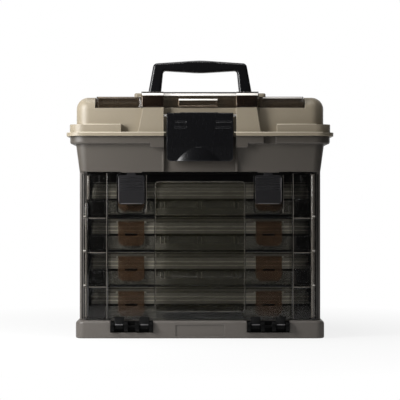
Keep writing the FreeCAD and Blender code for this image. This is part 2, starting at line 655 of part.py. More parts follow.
def rods(name, radius, spans, axis_y, axis_z):
    """Make a node of round rods along X, each given by its two ends."""
    parts = []
    for number, (start, end) in enumerate(spans):
        rod = doc.addObject("Part::Cylinder", f"{name}_{number + 1}")
        bind(rod, "Radius", radius)
        bind(rod, "Height", f"({end}) - ({start})")
        bind(rod, "Placement.Base.x", start)
        bind(rod, "Placement.Base.y", axis_y)
        bind(rod, "Placement.Base.z", axis_z)
        lay_along_x(rod)
        parts.append(rod)
    item = parts[0]
    if len(parts) > 1:
        item = doc.addObject("Part::Compound", name)
        item.Links = parts
    finish(item, name)


# ---------------------------------------------------------------- upper case
def loft(body, name, sections, cut=False):
    """Join outlines at several heights into one solid or one cut."""
    sketches = []
    for number, (loop, height) in enumerate(sections):
        sketch = sketch_on(body, f"{name}_{number}", "XY", height)
        draw(sketch, [loop])
        sketches.append(sketch)
    kind = "PartDesign::SubtractiveLoft" if cut else "PartDesign::AdditiveLoft"
    feature = body.newObject(kind, name)
    feature.Profile = sketches[0]
    feature.Sections = sketches[1:]
    feature.Ruled = True
    return feature


def hinge_span(side, place):
    """Return the low and high x of one of the three knuckles of a lid hinge."""
    low = f"({side} * hinge_half_x + {place - 1.5} * hinge_knuckle + seat_gap / 2)"
    high = f"({side} * hinge_half_x + {place - 0.5} * hinge_knuckle - seat_gap / 2)"
    return low, high


def upper_case():
    """Bulk case: flared tub with belt, latch recess, side blocks and hinge knuckles."""
    body = new_body("upper_case")
    wide, deep, flare = "case_half_wide_low", "case_half_deep_low", "case_flare"
    loft(body, "tub", [
        (centred(wide, deep, "case_corner_low"), RACK_TOP),
        (centred(f"{wide} + {flare}", f"{deep} + {flare}", "case_corner_top"), CASE_TOP)])
    belt_wide = f"({wide} + {flare} + belt_out)"
    belt_deep = f"({deep} + {flare} + belt_out)"
    extrude(body, "belt", "XY", [centred(belt_wide, belt_deep, "belt_corner")],
            f"{CASE_TOP} - belt_tall", CASE_TOP)
    soften(body, "belt_edge", "belt_round", lambda e: level(e, f"{CASE_TOP} - belt_tall")
           and outside(e, belt_wide, belt_deep))
    slope = f"({flare} * (case_wall / case_tall))"
    loft(body, "inside", [
        (centred(f"{wide} + {slope} - case_wall", f"{deep} + {slope} - case_wall",
                 "case_corner_low - case_wall"), f"{RACK_TOP} + case_wall"),
        (centred(f"{wide} + {flare} - case_wall", f"{deep} + {flare} - case_wall",
                 "case_corner_top - case_wall"), CASE_TOP)], cut=True)
    blocks = [rectangle("block_left_out", "-recess_half + over", "base_tall + rack_tall + block_low",
                        CASE_TOP, "belt_round"),
              rectangle("recess_half - over", "block_right_out",
                        "base_tall + rack_tall + block_low", CASE_TOP, "belt_round")]
    extrude(body, "blocks", "XZ", blocks, f"-{belt_deep}", f"-{deep} - {flare} + case_wall")
    housing = rectangle("-recess_half - case_wall", "recess_half + case_wall",
                        f"-{deep} - {flare} + case_wall", "recess_back + case_wall")
    extrude(body, "latch_housing", "XY", [housing], RACK_TOP, CASE_TOP)
    recess = rectangle("-recess_half", "recess_half", f"-{belt_deep} - over", "recess_back")
    cutter(body, "latch_recess", "XY", [recess], f"{RACK_TOP} - over", f"{CASE_TOP} + over")
    strike = rectangle("recess_back - strike_out", "recess_back + over", "strike_low",
                       "strike_low + strike_thick", "strike_round")
    extrude(body, "strike", "YZ", [strike], "-strike_half", "strike_half")
    gap = rectangle("belt_gap_from", "belt_gap_to", f"-{belt_deep} - over", f"-{deep} - {flare}")
    cutter(body, "belt_gap", "XY", [gap], f"{CASE_TOP} - belt_tall - over", f"{CASE_TOP} + over")
    bulges = [rectangle(f"{side} * tab_x - bulge_half", f"{side} * tab_x + bulge_half",
                        f"-{deep}", f"-{deep} + bulge_deep") for side in SIDES.values()]
    extrude(body, "tab_bulges", "XY", bulges, f"{RACK_TOP} - bulge_drop",
            f"{RACK_TOP} + case_wall")
    cutter(body, "screw_holes", "XY", screw_circles(), f"{RACK_TOP} - over",
           f"{RACK_TOP} + case_wall + over")
    round_off = "hinge_out * round_share"
    arm = [(f"{belt_deep} - over", "hinge_z - hinge_out * 2"),
           ("hinge_y + hinge_out", "hinge_z - hinge_out", round_off),
           ("hinge_y + hinge_out", "hinge_z + hinge_out", round_off),
           ("hinge_y - hinge_out", "hinge_z + hinge_out", round_off),
           ("hinge_y - hinge_out", "hinge_z - seat_gap * 2"),
           (f"{belt_deep} - over", "hinge_z - seat_gap * 2")]
    knuckle = extrude(body, "hinge_knuckle", "YZ",
                      [arm, ("hinge_y", "hinge_z", "hinge_pin + pin_gap")], *hinge_span(1, 1))
    mirror(body, "hinge_knuckles", [knuckle])
    finish(body, "upper_case")


def outside(edge, half_wide, half_deep):
    """Say whether an edge belongs to the outer outline of a rounded rectangle."""
    box = edge.BoundBox
    return (max(abs(box.XMin), abs(box.XMax)) > value(half_wide) - 0.01
            or max(abs(box.YMin), abs(box.YMax)) > value(half_deep) - 0.01)


# ---------------------------------------------------------------- lid
def band_loop(out, corner):
    """Return the outline of the lid's band, which leaves the front middle open."""
    wide, deep = f"(lid_half_wide + {out})", f"(lid_half_deep + {out})"
    bite = f"(band_out - {out})"
    return [(f"-{wide}", f"-{deep}", corner), (f"band_left_in - {bite}", f"-{deep}"),
            (f"band_left_in - {bite}", f"-lid_half_deep + {bite}"),
            (f"band_right_in + {bite}", f"-lid_half_deep + {bite}"),
            (f"band_right_in + {bite}", f"-{deep}"), (wide, f"-{deep}", corner),
            (wide, deep, corner), (f"-{wide}", deep, corner)]


def lid_form():
    """Outer form of the lid: shell, flange, band, pillars, spine and hinge knuckles."""
    body = new_body("lid_form")
    wide, deep = "lid_half_wide", "lid_half_deep"
    extrude(body, "block", "XY", [centred(wide, deep, "lid_corner")], LID_LOW, LID_TOP)
    soften(body, "shoulder", "lid_shoulder", lambda e: level(e, LID_TOP))
    flange = centred(f"{wide} + lid_flange_out", f"{deep} + lid_flange_out", "outer_corner")
    extrude(body, "flange", "XY", [flange], LID_LOW, FLANGE_TOP)
    extrude(body, "band", "XY", [band_loop("band_out", "band_corner")], FLANGE_TOP, BAND_TOP)
    pillars = [
        [("pillar_left_out", FLANGE_TOP), ("-pillar_in", FLANGE_TOP), ("-pillar_in", "rim_up"),
         ("pillar_left_top", "rim_up")],
        [("pillar_in", FLANGE_TOP), ("pillar_right_out", FLANGE_TOP),
         ("pillar_right_top", "rim_up"), ("pillar_in", "rim_up")]]
    extrude(body, "pillars", "XZ", pillars, f"-{deep} - band_out", f"-{deep} + over")
    cover_seat = rectangle("-tower_in", "tower_in", f"-{deep} - front_reach", "-spine_half_deep")
    cutter(body, "cover_seat", "XY", [cover_seat], "rim_up", f"{LID_TOP} + over")
    bay = rectangle("-tower_in", "tower_in", f"-{deep} + lid_wall", "bay_rear")
    cutter(body, "bay", "XY", [bay], "bay_floor", "rim_up + over")
    ledge = rectangle("-tower_in", "tower_in", "bay_rear - over", "-spine_half_deep")
    cutter(body, "rear_ledge", "XY", [ledge], "ledge_up", "rim_up + over")
    spine = centred("spine_half_wide", "spine_half_deep", "grip_round")
    extrude(body, "spine", "XY", [spine], "ledge_up", "spine_top")
    soften(body, "spine_edge", "rail_wall", lambda e: level(e, "spine_top"))
    grip_room = rectangle("-leg_out - side_gap", "leg_out + side_gap",
                          "spine_half_deep", "tray_recess_back", "grip_round")
    cutter(body, "grip_room", "XY", [grip_room], "tray_recess_floor", "spine_top + over")
    slots = []
    for side in SIDES.values():
        slots.append(rectangle(f"{side} * (leg_in - side_gap)", f"{side} * (leg_out + side_gap)",
                               "-handle_half_deep - seat_gap", "spine_half_deep + grip_round"))
    cutter(body, "leg_slots", "XY", slots, "tray_recess_floor", "spine_top + over")
    cutter(body, "handle_bores", "YZ", [("0", "handle_pivot_z", "handle_pin + pin_gap")],
           "-leg_out - side_gap - cheek - over", "leg_out + side_gap + cheek")
    latch_room = rectangle("-recess_half", "recess_half", f"-{deep} - lid_flange_out - over",
                           f"-{deep}")
    cutter(body, "latch_room", "XY", [latch_room], f"{LID_LOW} - over", f"{FLANGE_TOP} + over")
    cutter(body, "latch_bores", "YZ", [("latch_axis_y", "latch_axis_z", "latch_pin + pin_gap")],
           "-latch_pin_reach - seat_gap", "latch_pin_reach + seat_gap")
    cutter(body, "cover_bores", "YZ", [("cover_axis_y", "cover_axis_z", "cover_stub + pin_gap")],
           "-tower_in - cover_stub_long", "tower_in + cover_stub_long")
    low, high = hinge_span(1, 1)
    clear = rectangle(f"{low} - seat_gap", f"{high} + seat_gap",
                      "hinge_y - hinge_out - hinge_clear", "hinge_y + hinge_room")
    room = cutter(body, "knuckle_room", "XY", [clear], f"{LID_LOW} - over", f"{FLANGE_TOP} + over")
    round_off = "hinge_out * round_share"
    root = f"({deep} + lid_flange_out - hinge_root)"
    arm = [(root, LID_LOW), ("hinge_y - hinge_out", LID_LOW),
           ("hinge_y - hinge_out", "hinge_z - hinge_out", round_off),
           ("hinge_y + hinge_out", "hinge_z - hinge_out", round_off),
           ("hinge_y + hinge_out", "hinge_z + hinge_out", round_off),
           (root, "hinge_z + hinge_out")]
    bore = ("hinge_y", "hinge_z", "hinge_pin + pin_gap")
    knuckles = [extrude(body, f"hinge_knuckle_{place}", "YZ", [arm, bore],
                        *hinge_span(1, place)) for place in (0, 2)]
    mirror(body, "hinge_sides", [room] + knuckles)
    return body


def lid_hollow():
    """Inside of the lid, less the material of bays, spine and handle recess."""
    body = new_body("lid_hollow")
    wide, deep = "(lid_half_wide - lid_wall)", "(lid_half_deep - lid_wall)"
    extrude(body, "core", "XY", [centred(wide, deep, "lid_corner - lid_wall")], LID_LOW,
            f"{LID_TOP} - lid_wall")
    soften(body, "core_shoulder", "lid_shoulder - lid_wall",
           lambda e: level(e, f"{LID_TOP} - lid_wall"))
    bay = rectangle("-tower_in - lid_wall", "tower_in + lid_wall", f"-{deep} - over",
                    "-spine_half_deep + lid_wall")
    cutter(body, "bay_block", "XY", [bay], "bay_floor - lid_wall", f"{LID_TOP} + over")
    grip = rectangle("-leg_out - side_gap - cheek", "leg_out + side_gap + cheek",
                     "-spine_half_deep", "tray_recess_back + lid_wall")
    cutter(body, "grip_block", "XY", [grip], "tray_recess_floor - lid_wall", f"{LID_TOP} + over")
    return body


def lid_shell():
    """Lid moulding: outer form less its hollow and the hollow of the band."""
    form, hollow = lid_form(), lid_hollow()
    band = new_body("band_hollow")
    wide, deep = "(lid_half_wide + band_out - lid_wall)", "(lid_half_deep + band_out - lid_wall)"
    inner_wide, inner_deep = "(lid_half_wide - lid_wall - over)", "(lid_half_deep - lid_wall - over)"
    end, outer_r, inner_r = "(tower_in + 2 * lid_wall)", "core_corner", "core_corner_in"
    ring = [(f"-{end}", f"-{deep}"), (f"-{wide}", f"-{deep}", outer_r),
            (f"-{wide}", deep, outer_r), (wide, deep, outer_r), (wide, f"-{deep}", outer_r),
            (end, f"-{deep}"), (end, f"-{inner_deep}"),
            (inner_wide, f"-{inner_deep}", inner_r), (inner_wide, inner_deep, inner_r),
            (f"-{inner_wide}", inner_deep, inner_r), (f"-{inner_wide}", f"-{inner_deep}", inner_r),
            (f"-{end}", f"-{inner_deep}")]
    extrude(band, "band_core", "XY", [ring], f"{LID_LOW} - over", f"{BAND_TOP} - lid_wall")
    shell = boolean("Cut", "lid_shell", form, [hollow, band])
    finish(shell, "lid_shell")


def lid_dividers():
    """Removable plates that part the lid's front bay."""
    plates = []
    for column in (-1.5, -0.5, 0.5, 1.5):
        plate = doc.addObject("Part::Box", f"bay_plate_{int(column + 2)}")
        bind(plate, "Length", "bay_plate")
        bind(plate, "Width", "bay_rear + lid_half_deep - lid_wall - 2 * seat_gap")
        bind(plate, "Height", "bay_plate_top - bay_floor")
        bind(plate, "Placement.Base.x", f"{column} * bay_pitch - bay_plate / 2")
        bind(plate, "Placement.Base.y", "-lid_half_deep + lid_wall + seat_gap")
        bind(plate, "Placement.Base.z", "bay_floor")
        plates.append(plate)
    group = doc.addObject("Part::Compound", "lid_dividers")
    group.Links = plates
    finish(group, "lid_dividers")


def cover_plan(inset, raised):
    """Return the cover's outline in plan, inset for the inside; raised is the middle part."""
    front = f"(-lid_half_deep + {inset})"
    proud = f"(-lid_half_deep - band_out + {inset})"
    notch_l, notch_r = f"-(pillar_in - {inset})", f"(pillar_in - {inset})"
    top_l, top_r = f"(pillar_left_top + {inset})", f"(pillar_right_top - {inset})"
    middle = [(top_l, proud), (f"-(pillar_in + {inset})", proud), (f"-(pillar_in + {inset})", front),
              (f"(pillar_in + {inset})", front), (f"(pillar_in + {inset})", proud), (top_r, proud)]
    if raised:
        half = f"(cover_raise_half - {inset})"
        knee = "(-lid_half_deep - band_out / 2)"
        return ([(f"-{half}", "cover_back"), (f"-{half}", knee)] + middle
                + [(half, knee), (half, "cover_back")])
    half = f"(tower_in - cover_gap - {inset})"
    slant = "wing_slant"
    return ([(f"-{half}", "cover_back"), (f"-{half}", front), (f"{top_l} - {slant}", front)]
            + middle + [(f"{top_r} + {slant}", front), (half, front), (half, "cover_back")])


def top_cover():
    """Smoke cover: stepped shell with front lip, catch, dip and two pivot stubs."""
    body = new_body("top_cover")
    extrude(body, "wings", "XY", [cover_plan("0", False)], "cover_low", "cover_top")
    extrude(body, "raise", "XY", [cover_plan("0", True)], "cover_top", "cover_raise_top")
    soften(body, "raise_edge", "cover_round",
           lambda e: level(e, "cover_raise_top") and not level(e, "cover_back", "Y"))
    cutter(body, "wing_inside", "XY", [cover_plan("cover_skin", False)], "cover_low - over",
           "cover_top - cover_skin")
    cutter(body, "raise_inside", "XY", [cover_plan("cover_skin", True)], "cover_low - over",
           "cover_raise_top - cover_skin")
    catch = rectangle("catch_left", "catch_right", "catch_low", "catch_top", "cover_skin")
    window = rectangle("catch_left + cover_skin", "catch_right - cover_skin",
                       "catch_low + cover_skin", "catch_top - cover_skin", "cover_skin / 2")
    extrude(body, "catch", "XZ", [catch, window], "-lid_half_deep - catch_out", "-lid_half_deep")
    soften(body, "catch_edge", "catch_round",
           lambda e: level(e, "-lid_half_deep - catch_out", "Y") and level(e, "catch_top"))
    dip = rectangle("-dip_half", "dip_half", "cover_raise_top - dip_drop",
                    "cover_raise_top + over")
    cutter(body, "dip", "XZ", [dip], "-lid_half_deep - over", "-lid_half_deep + dip_deep")
    stub = ("cover_axis_y", "cover_axis_z", "cover_stub")
    reach = "(tower_in + cover_stub_long - seat_gap * 4)"
    extrude(body, "stub_left", "YZ", [stub], f"-{reach}", "-tower_in + cover_gap + cover_skin")
    extrude(body, "stub_right", "YZ", [stub], "tower_in - cover_gap - cover_skin", reach)
    finish(body, "top_cover")


# ---------------------------------------------------------------- handle
def handle():
    """Carrying handle: arched grip on two legs that widen to round pivots."""
    front = new_body("handle_front")
    sketch = sketch_on(front, "arch", "XZ", "handle_half_deep")
    outline = [("-leg_out", "leg_bottom"), ("-leg_in", "leg_bottom"),
               ("-leg_in", "spine_top + leg_straight"),
               ("-grip_in", "grip_end_low", "grip_round"),
               ("0", "grip_low", "grip_arch"),
               ("grip_in", "grip_end_low", "grip_round"),
               ("leg_in", "spine_top + leg_straight"), ("leg_in", "leg_bottom"),
               ("leg_out", "leg_bottom"), ("leg_out", "spine_top + leg_straight"),
               ("grip_out", "grip_end_top", "grip_end_round"),
               ("0", "grip_top", "grip_arch"),
               ("-grip_out", "grip_end_top", "grip_end_round"), ("-leg_out", "spine_top + leg_straight")]
    draw(sketch, [outline])
    pad = front.newObject("PartDesign::Pad", "arch")
    pad.Profile = sketch
    bind(pad, "Length", "2 * handle_half_deep")
    soften(front, "grip_edges", "grip_round",
           lambda e: (level(e, "handle_half_deep", "Y") or level(e, "-handle_half_deep", "Y"))
           and e.BoundBox.ZMax > value("leg_bottom + over"))
    side = new_body("handle_side")
    half = "handle_half_deep"
    profile = [(f"-{half}", "leg_bottom", f"{half} - hair"),
               (half, "leg_bottom", f"{half} - hair"),
               (half, "grip_top + over", "handle_crown"), (f"-{half}", "grip_top + over", "handle_crown")]
    extrude(side, "leg_round", "YZ", [profile], "-leg_out - over", "leg_out + over")
    cutter(side, "bores", "YZ", [("0", "handle_pivot_z", "handle_pin + pin_gap")],
           "-leg_out - 2", "leg_out + 2")
    finish(boolean("Common", "handle", front, [side]), "handle")


# ---------------------------------------------------------------- main latch
def main_latch():
    """Front latch: bowed plate with raised crest, barrel, finger lift, grooves and hook."""
    body = new_body("latch_plate")
    half, top = "latch_half", "latch_top"
    section = [("latch_back", "latch_low"), ("latch_front + 2 * latch_bulge", "latch_low"),
               ("latch_front", "latch_low + bow_low", "bow_round"),
               ("latch_front", f"{top} - bow_high", "bow_round"),
               ("latch_front + latch_bulge", top, "latch_bulge"), ("latch_back", top)]
    extrude(body, "plate", "YZ", [section], f"-{half}", half)
    soften(body, "corners", "latch_corner",
           lambda e: runs_along(e, "Y") and e.BoundBox.ZMax < value("latch_low + over"))
    shoulders = [rectangle(f"-{half} - over", "crest_left", f"{top} - crest_tall", f"{top} + over"),
                 rectangle("crest_right", f"{half} + over", f"{top} - crest_tall", f"{top} + over")]
    cutter(body, "shoulders", "XZ", shoulders, "latch_front - over", "latch_back + over")
    hollow = rectangle(f"-{half} + latch_skin", f"{half} - latch_skin",
                       "hollow_low", "latch_axis_z - latch_barrel - over", "latch_skin")
    cutter(body, "hollow", "XZ", [hollow], "latch_front + latch_skin", "latch_back + over")
    extrude(body, "barrel", "YZ", [("latch_axis_y", "latch_axis_z", "latch_barrel")],
            f"-{half}", half)
    cutter(body, "bore", "YZ", [("latch_axis_y", "latch_axis_z", "latch_pin + pin_gap")],
           f"-{half} - over", f"{half} + over")
    grooves = []
    for side in SIDES:
        for low in (f"{top} - groove_drop", f"{top} - groove_drop - groove_gap"):
            grooves.append(rectangle(f"groove_{side}_from", f"groove_{side}_to", low,
                                     f"{low} + groove_tall"))
    cutter(body, "grooves", "XZ", grooves, "latch_front - over", "latch_front + groove_deep")
    hook = rectangle("-hook_half", "hook_half", "latch_back - over", "hook_back")
    extrude(body, "hook", "XY", [hook], "hook_low", "strike_low - seat_gap * 2")
    reach = "((lift_half ^ 2 + lift_out ^ 2) / (2 * lift_out))"
    cone = doc.addObject("Part::Cone", "lift_cone")
    bind(cone, "Radius1", reach)
    bind(cone, "Radius2", f"{reach} - lift_lean")
    bind(cone, "Height", "lift_tall")
    bind(cone, "Placement.Base.x", "lift_x")
    bind(cone, "Placement.Base.y", f"lift_front + {reach}")
    bind(cone, "Placement.Base.z", "latch_low")
    slab = doc.addObject("Part::Box", "lift_slab")
    bind(slab, "Length", "2 * lift_half")
    bind(slab, "Width", "lift_back - lift_front")
    bind(slab, "Height", "lift_tall")
    bind(slab, "Placement.Base.x", "lift_x - lift_half")
    bind(slab, "Placement.Base.y", "lift_front")
    bind(slab, "Placement.Base.z", "latch_low")
    lift = boolean("Common", "finger_lift", cone, [slab])
    finish(boolean("Fuse", "main_latch", body, [lift]), "main_latch")


# ---------------------------------------------------------------- front door
def front_door():
    """Smoke-clear door: hat section, latch channels, framed panel, ribs and knuckles."""
    body = new_body("front_door")
    wall = "door_wall"
    side_face = "(door_face + door_step)"
    outer = [("-door_half_wide", "door_back"), ("-door_half_wide", side_face, "door_corner_out"),
             ("-door_centre_half", side_face), ("-door_centre_half + door_step", "door_face"),
             ("door_centre_half - door_step", "door_face"), ("door_centre_half", side_face),
             ("door_half_wide", side_face, "door_corner_out"), ("door_half_wide", "door_back")]
    inner = [(f"door_half_wide - {wall}", "door_back"),
             (f"door_half_wide - {wall}", f"{side_face} + {wall}", "door_corner_in"),
             (f"door_centre_half - over", f"{side_face} + {wall}"),
             (f"door_centre_half - door_step - over", f"door_face + {wall}"),
             (f"-door_centre_half + door_step + over", f"door_face + {wall}"),
             (f"-door_centre_half + over", f"{side_face} + {wall}"),
             (f"-door_half_wide + {wall}", f"{side_face} + {wall}", "door_corner_in"),
             (f"-door_half_wide + {wall}", "door_back")]
    extrude(body, "sheet", "XY", [outer + inner], "door_low", "door_top")
    behind = f"(door_face + {wall} + channel_deep)"
    backing, channels, drops, slots = [], [], [], []
    for side in SIDES.values():
        mid = f"{side} * tab_x"
        wide = f"(channel_half + {wall})"
        backing.append([(f"{mid} - {wide}", "door_top"),
                        (f"{mid} - {wide}", f"channel_low - {wall}", "channel_corner"),
                        (f"{mid} + {wide}", f"channel_low - {wall}", "channel_corner"),
                        (f"{mid} + {wide}", "door_top")])
        channels.append([(f"{mid} - channel_half", "door_top + channel_over"),
                         (f"{mid} - channel_half", "channel_low", "channel_corner"),
                         (f"{mid} + channel_half", "channel_low", "channel_corner"),
                         (f"{mid} + channel_half", "door_top + channel_over")])
        drops.append(rectangle(f"{mid} - bulge_half - bulge_gap", f"{mid} + bulge_half + bulge_gap",
                               "door_top - channel_top_drop", "door_top + over"))
        slots.append(rectangle(f"{mid} - stem_half - seat_gap", f"{mid} + stem_half + seat_gap",
                               "stem_low - tab_travel - seat_gap",
                               "stem_low + stem_tall + seat_gap"))
    extrude(body, "channel_backing", "XZ", backing, "door_face + sink", behind)
    cutter(body, "channels", "XZ", channels, "door_face - over", "door_face + channel_deep")
    cutter(body, "channel_tops", "XZ", drops, "door_face - over", f"{behind} + over")
    cutter(body, "stem_slots", "XZ", slots, "door_face - over", f"{behind} + over")
    panel_low = rectangle("-panel_half", "panel_half", "panel_low", "panel_line",
                          "panel_corner")
    panel_high = rectangle("-panel_half", "panel_half", "panel_line + panel_line_tall", "panel_top",
                           "panel_corner")
    cutter(body, "panel", "XZ", [panel_low, panel_high], "door_face - over",
           "door_face + panel_cut")
    ribs, lugs = [], []
    for side in SIDES.values():
        rib_in = f"{side} * (door_centre_half + over)"
        rib_out = f"{side} * (door_half_wide - door_corner)"
        low = f"box_low + box_pitch + tray_tall - rib_tall"
        ribs.append(rectangle(rib_in, rib_out, low, f"{low} + rib_tall"))
        lug_in = f"{side} * (door_half_wide - door_corner - lug_wide)"
        lugs.append(rectangle(lug_in, rib_out, f"{low} + rib_tall - over",
                              f"{low} + rib_tall + lug_tall", "lug_wide / 4"))
    rib = extrude(body, "rib", "XZ", ribs, f"{side_face} - rib_out", f"{side_face} + sink")
    lug = extrude(body, "lug", "XZ", lugs, f"{side_face} - lug_out", f"{side_face} + sink")
    repeat(body, "ribs", [rib, lug], "Z", "box_pitch", BOXES - 1)
    round_off = "door_knuckle * round_share"
    arm = [("door_axis_y + door_knuckle", "door_axis_z - door_knuckle", round_off),
           ("door_axis_y + door_knuckle", "door_axis_z"),
           (f"door_face + {wall}", "door_low - knuckle_drop"),
           (f"door_face + {wall}", "door_low + knuckle_root"),
           ("door_face", "door_low + knuckle_root"),
           ("door_axis_y - door_knuckle", "door_axis_z + door_knuckle", round_off),
           ("door_axis_y - door_knuckle", "door_axis_z - door_knuckle", round_off)]
    bore = ("door_axis_y", "door_axis_z", "door_pin + pin_gap")
    arms = []
    for number, (start, end) in enumerate((("ear_a", "ear_b_from"),
                                           ("2 * bracket_half - ear_b_from",
                                            "2 * bracket_half - ear_a"))):
        left = "(door_hinge_x - bracket_half)"
        arms.append(extrude(body, f"arm_{number}", "YZ", [arm, bore],
                            f"{left} + {start} + side_gap", f"{left} + {end} - side_gap"))
    mirror(body, "arms", arms)
    finish(body, "front_door")


def door_bracket(hand):
    """Black hinge bracket: back plate with four ears round the door's pin."""
    name = f"door_hinge_{hand}"
    body = new_body(name)
    middle = f"({SIDES[hand]} * door_hinge_x)"
    left = f"({middle} - bracket_half)"
    back = "(-base_deep / 2 + notch_deep)"
    plate = rectangle(left, f"{middle} + bracket_half", "notch_floor", "base_tall - over")
    extrude(body, "plate", "XZ", [plate], f"{back} - bracket_plate", back)
    ears = (("0", "ear_a"), ("ear_b_from", "ear_b_to"),
            ("2 * bracket_half - ear_b_to", "2 * bracket_half - ear_b_from"),
            ("2 * bracket_half - ear_a", "2 * bracket_half"))
    for number, (start, end) in enumerate(ears, 1):
        low, high = f"{left} + {start}", f"{left} + {end}"
        web = [(f"{back} - over", "notch_floor + over"),
               (f"{back} - over", "door_axis_z + ear_round - over"),
               ("door_axis_y - ear_round", "door_axis_z + ear_round", "ear_round * ear_share"),
               ("door_axis_y - ear_round", "door_axis_z - ear_round", "ear_round * ear_share"),
               ("door_axis_y", "door_axis_z - ear_round")]
        extrude(body, f"ear_{number}", "YZ", [web], low, high)
    cutter(body, "pin_bore", "YZ", [("door_axis_y", "door_axis_z", "door_pin + pin_gap")],
           f"{left} - over", f"{middle} + bracket_half + over")
    finish(body, name)


def door_tab(hand):
    """Sliding door latch: ridged tab with tongue above and a keeper behind the door."""
    name = f"door_latch_{hand}"
    body = new_body(name)
    mid = f"({SIDES[hand]} * tab_x)"
    back = "(door_face + channel_deep - seat_gap)"
    front = f"({back} - tab_thick)"
    tab = rectangle(f"{mid} - tab_half", f"{mid} + tab_half", "tab_low", "tab_top", "tab_corner")
    extrude(body, "tab", "XZ", [tab], front, back)
    tongue = rectangle(f"{mid} - tongue_half", f"{mid} + tongue_half", "tab_top - tongue_root",
                       "tongue_top", "tab_corner / 2")
    extrude(body, "tongue", "XZ", [tongue], f"{front} + over", back)
    groove = rectangle(f"{mid} - tab_half + ridge_margin", f"{mid} + tab_half - ridge_margin", "ridge_low",
                       "ridge_low + ridge_pitch / 2")
    first = cutter(body, "ridge", "XZ", [groove], f"{front} - over", f"{front} + ridge_deep")
    repeat(body, "ridges", [first], "Z", "ridge_pitch", 9)
    stem = rectangle(f"{mid} - stem_half", f"{mid} + stem_half", "stem_low",
                     "stem_low + stem_tall")
    behind = "(door_face + door_wall + channel_deep + seat_gap)"
    extrude(body, "stem", "XZ", [stem], f"{back} - over", f"{behind} + over")
    keeper = rectangle(f"{mid} - keeper_half", f"{mid} + keeper_half", "stem_low",
                       "stem_low + stem_tall", "tab_corner / 4")
    extrude(body, "keeper", "XZ", [keeper], behind, f"{behind} + keeper_thick")
    finish(body, name)


# ---------------------------------------------------------------- assembly
base_tray()
for hand_name, hand_side in SIDES.items():
    side_panel(f"side_panel_{hand_name}", hand_side)
back_panel()
panel_screws()
box_pieces = {"tray": box_tray(), "lid": box_lid(), "dividers": box_dividers(),
              "hinge_pins": box_hinge_pins(), "latch_left": box_clip("left"),
              "latch_right": box_clip("right")}
for number in range(1, BOXES):
    for piece_name, piece in box_pieces.items():
        copy_up(f"box_{number + 1}_{piece_name}", piece, number)
upper_case()
lid_shell()
lid_dividers()
top_cover()
handle()
main_latch()
front_door()
for hand_name in SIDES:
    door_bracket(hand_name)
    door_tab(hand_name)
rods("lid_hinge_pins", "hinge_pin",
     [(hinge_span(s, 0)[0], hinge_span(s, 2)[1]) for s in SIDES.values()], "hinge_y", "hinge_z")
rods("door_hinge_pins", "door_pin",
     [(f"{s} * door_hinge_x - bracket_half", f"{s} * door_hinge_x + bracket_half")
      for s in SIDES.values()], "door_axis_y", "door_axis_z")
rods("handle_pins", "handle_pin",
     [("-leg_out - side_gap - cheek", "-leg_in + side_gap + cheek"),
      ("leg_in - side_gap - cheek", "leg_out + side_gap + cheek")], "0", "handle_pivot_z")
rods("main_latch_pin", "latch_pin", [("-latch_pin_reach", "latch_pin_reach")],
     "latch_axis_y", "latch_axis_z")
doc.recompute()

for item in doc.Objects:
    if "Invalid" in item.State or "Error" in item.State:
        raise RuntimeError(f"{item.Label}: {item.State}")
os.makedirs("parts", exist_ok=True)
for node_name, item in nodes:
    shape = item.Shape
    if shape.isNull() or not shape.isValid() or not shape.Solids:
        raise RuntimeError(f"{node_name}: bad shape")
    shape.exportStep(f"parts/{node_name}.step")
    print(f"{node_name}: {len(shape.Solids)} solid(s), {shape.Volume / 1000:.1f} cm3")
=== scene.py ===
"""Looks of the fishing tackle cabinet: its finishes, small moulded detail and studio."""

import json
import logging
import math
from dataclasses import dataclass, field
from enum import Enum
from typing import Any, Iterable, Sequence

import bmesh
import bpy
from mathutils import Matrix, Vector

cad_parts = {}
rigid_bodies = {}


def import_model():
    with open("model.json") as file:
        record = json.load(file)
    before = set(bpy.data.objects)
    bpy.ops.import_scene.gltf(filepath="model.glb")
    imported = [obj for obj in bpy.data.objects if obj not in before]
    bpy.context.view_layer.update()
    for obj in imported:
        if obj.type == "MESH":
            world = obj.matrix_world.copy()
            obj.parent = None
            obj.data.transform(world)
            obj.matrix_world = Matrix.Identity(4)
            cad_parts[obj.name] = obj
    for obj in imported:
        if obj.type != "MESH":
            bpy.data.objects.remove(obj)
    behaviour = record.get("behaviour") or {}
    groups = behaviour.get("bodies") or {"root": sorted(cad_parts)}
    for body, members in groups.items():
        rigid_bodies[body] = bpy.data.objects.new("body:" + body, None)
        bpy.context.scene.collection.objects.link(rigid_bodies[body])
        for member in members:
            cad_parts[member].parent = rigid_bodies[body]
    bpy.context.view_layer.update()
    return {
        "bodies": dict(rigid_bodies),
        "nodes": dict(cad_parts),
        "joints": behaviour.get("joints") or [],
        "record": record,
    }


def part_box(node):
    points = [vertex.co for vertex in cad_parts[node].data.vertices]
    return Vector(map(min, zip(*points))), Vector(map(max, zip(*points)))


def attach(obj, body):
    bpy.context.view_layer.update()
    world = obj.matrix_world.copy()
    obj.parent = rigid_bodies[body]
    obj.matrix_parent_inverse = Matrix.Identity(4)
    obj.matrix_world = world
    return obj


LOG = logging.getLogger("tackle_cabinet")
MM = 0.001
SIDES = (-1, 1)
WHITE = (1, 1, 1, 1)
TRIM_PROUD = .4
TRIM_SOFT = .18
WELD_WITHIN = 1e-6
SEAM_UP = 53.1
BOX_PITCH = 56.6
BOXES = 4
Colour = tuple[float, float, float]
Point = tuple[float, float, float]
Socket = bpy.types.NodeSocket


class Body(str, Enum):
    """Moving bodies that the pieces ride on."""

    CABINET = "cabinet"
    LID = "lid"
    COVER = "cover"
    DOOR = "door"


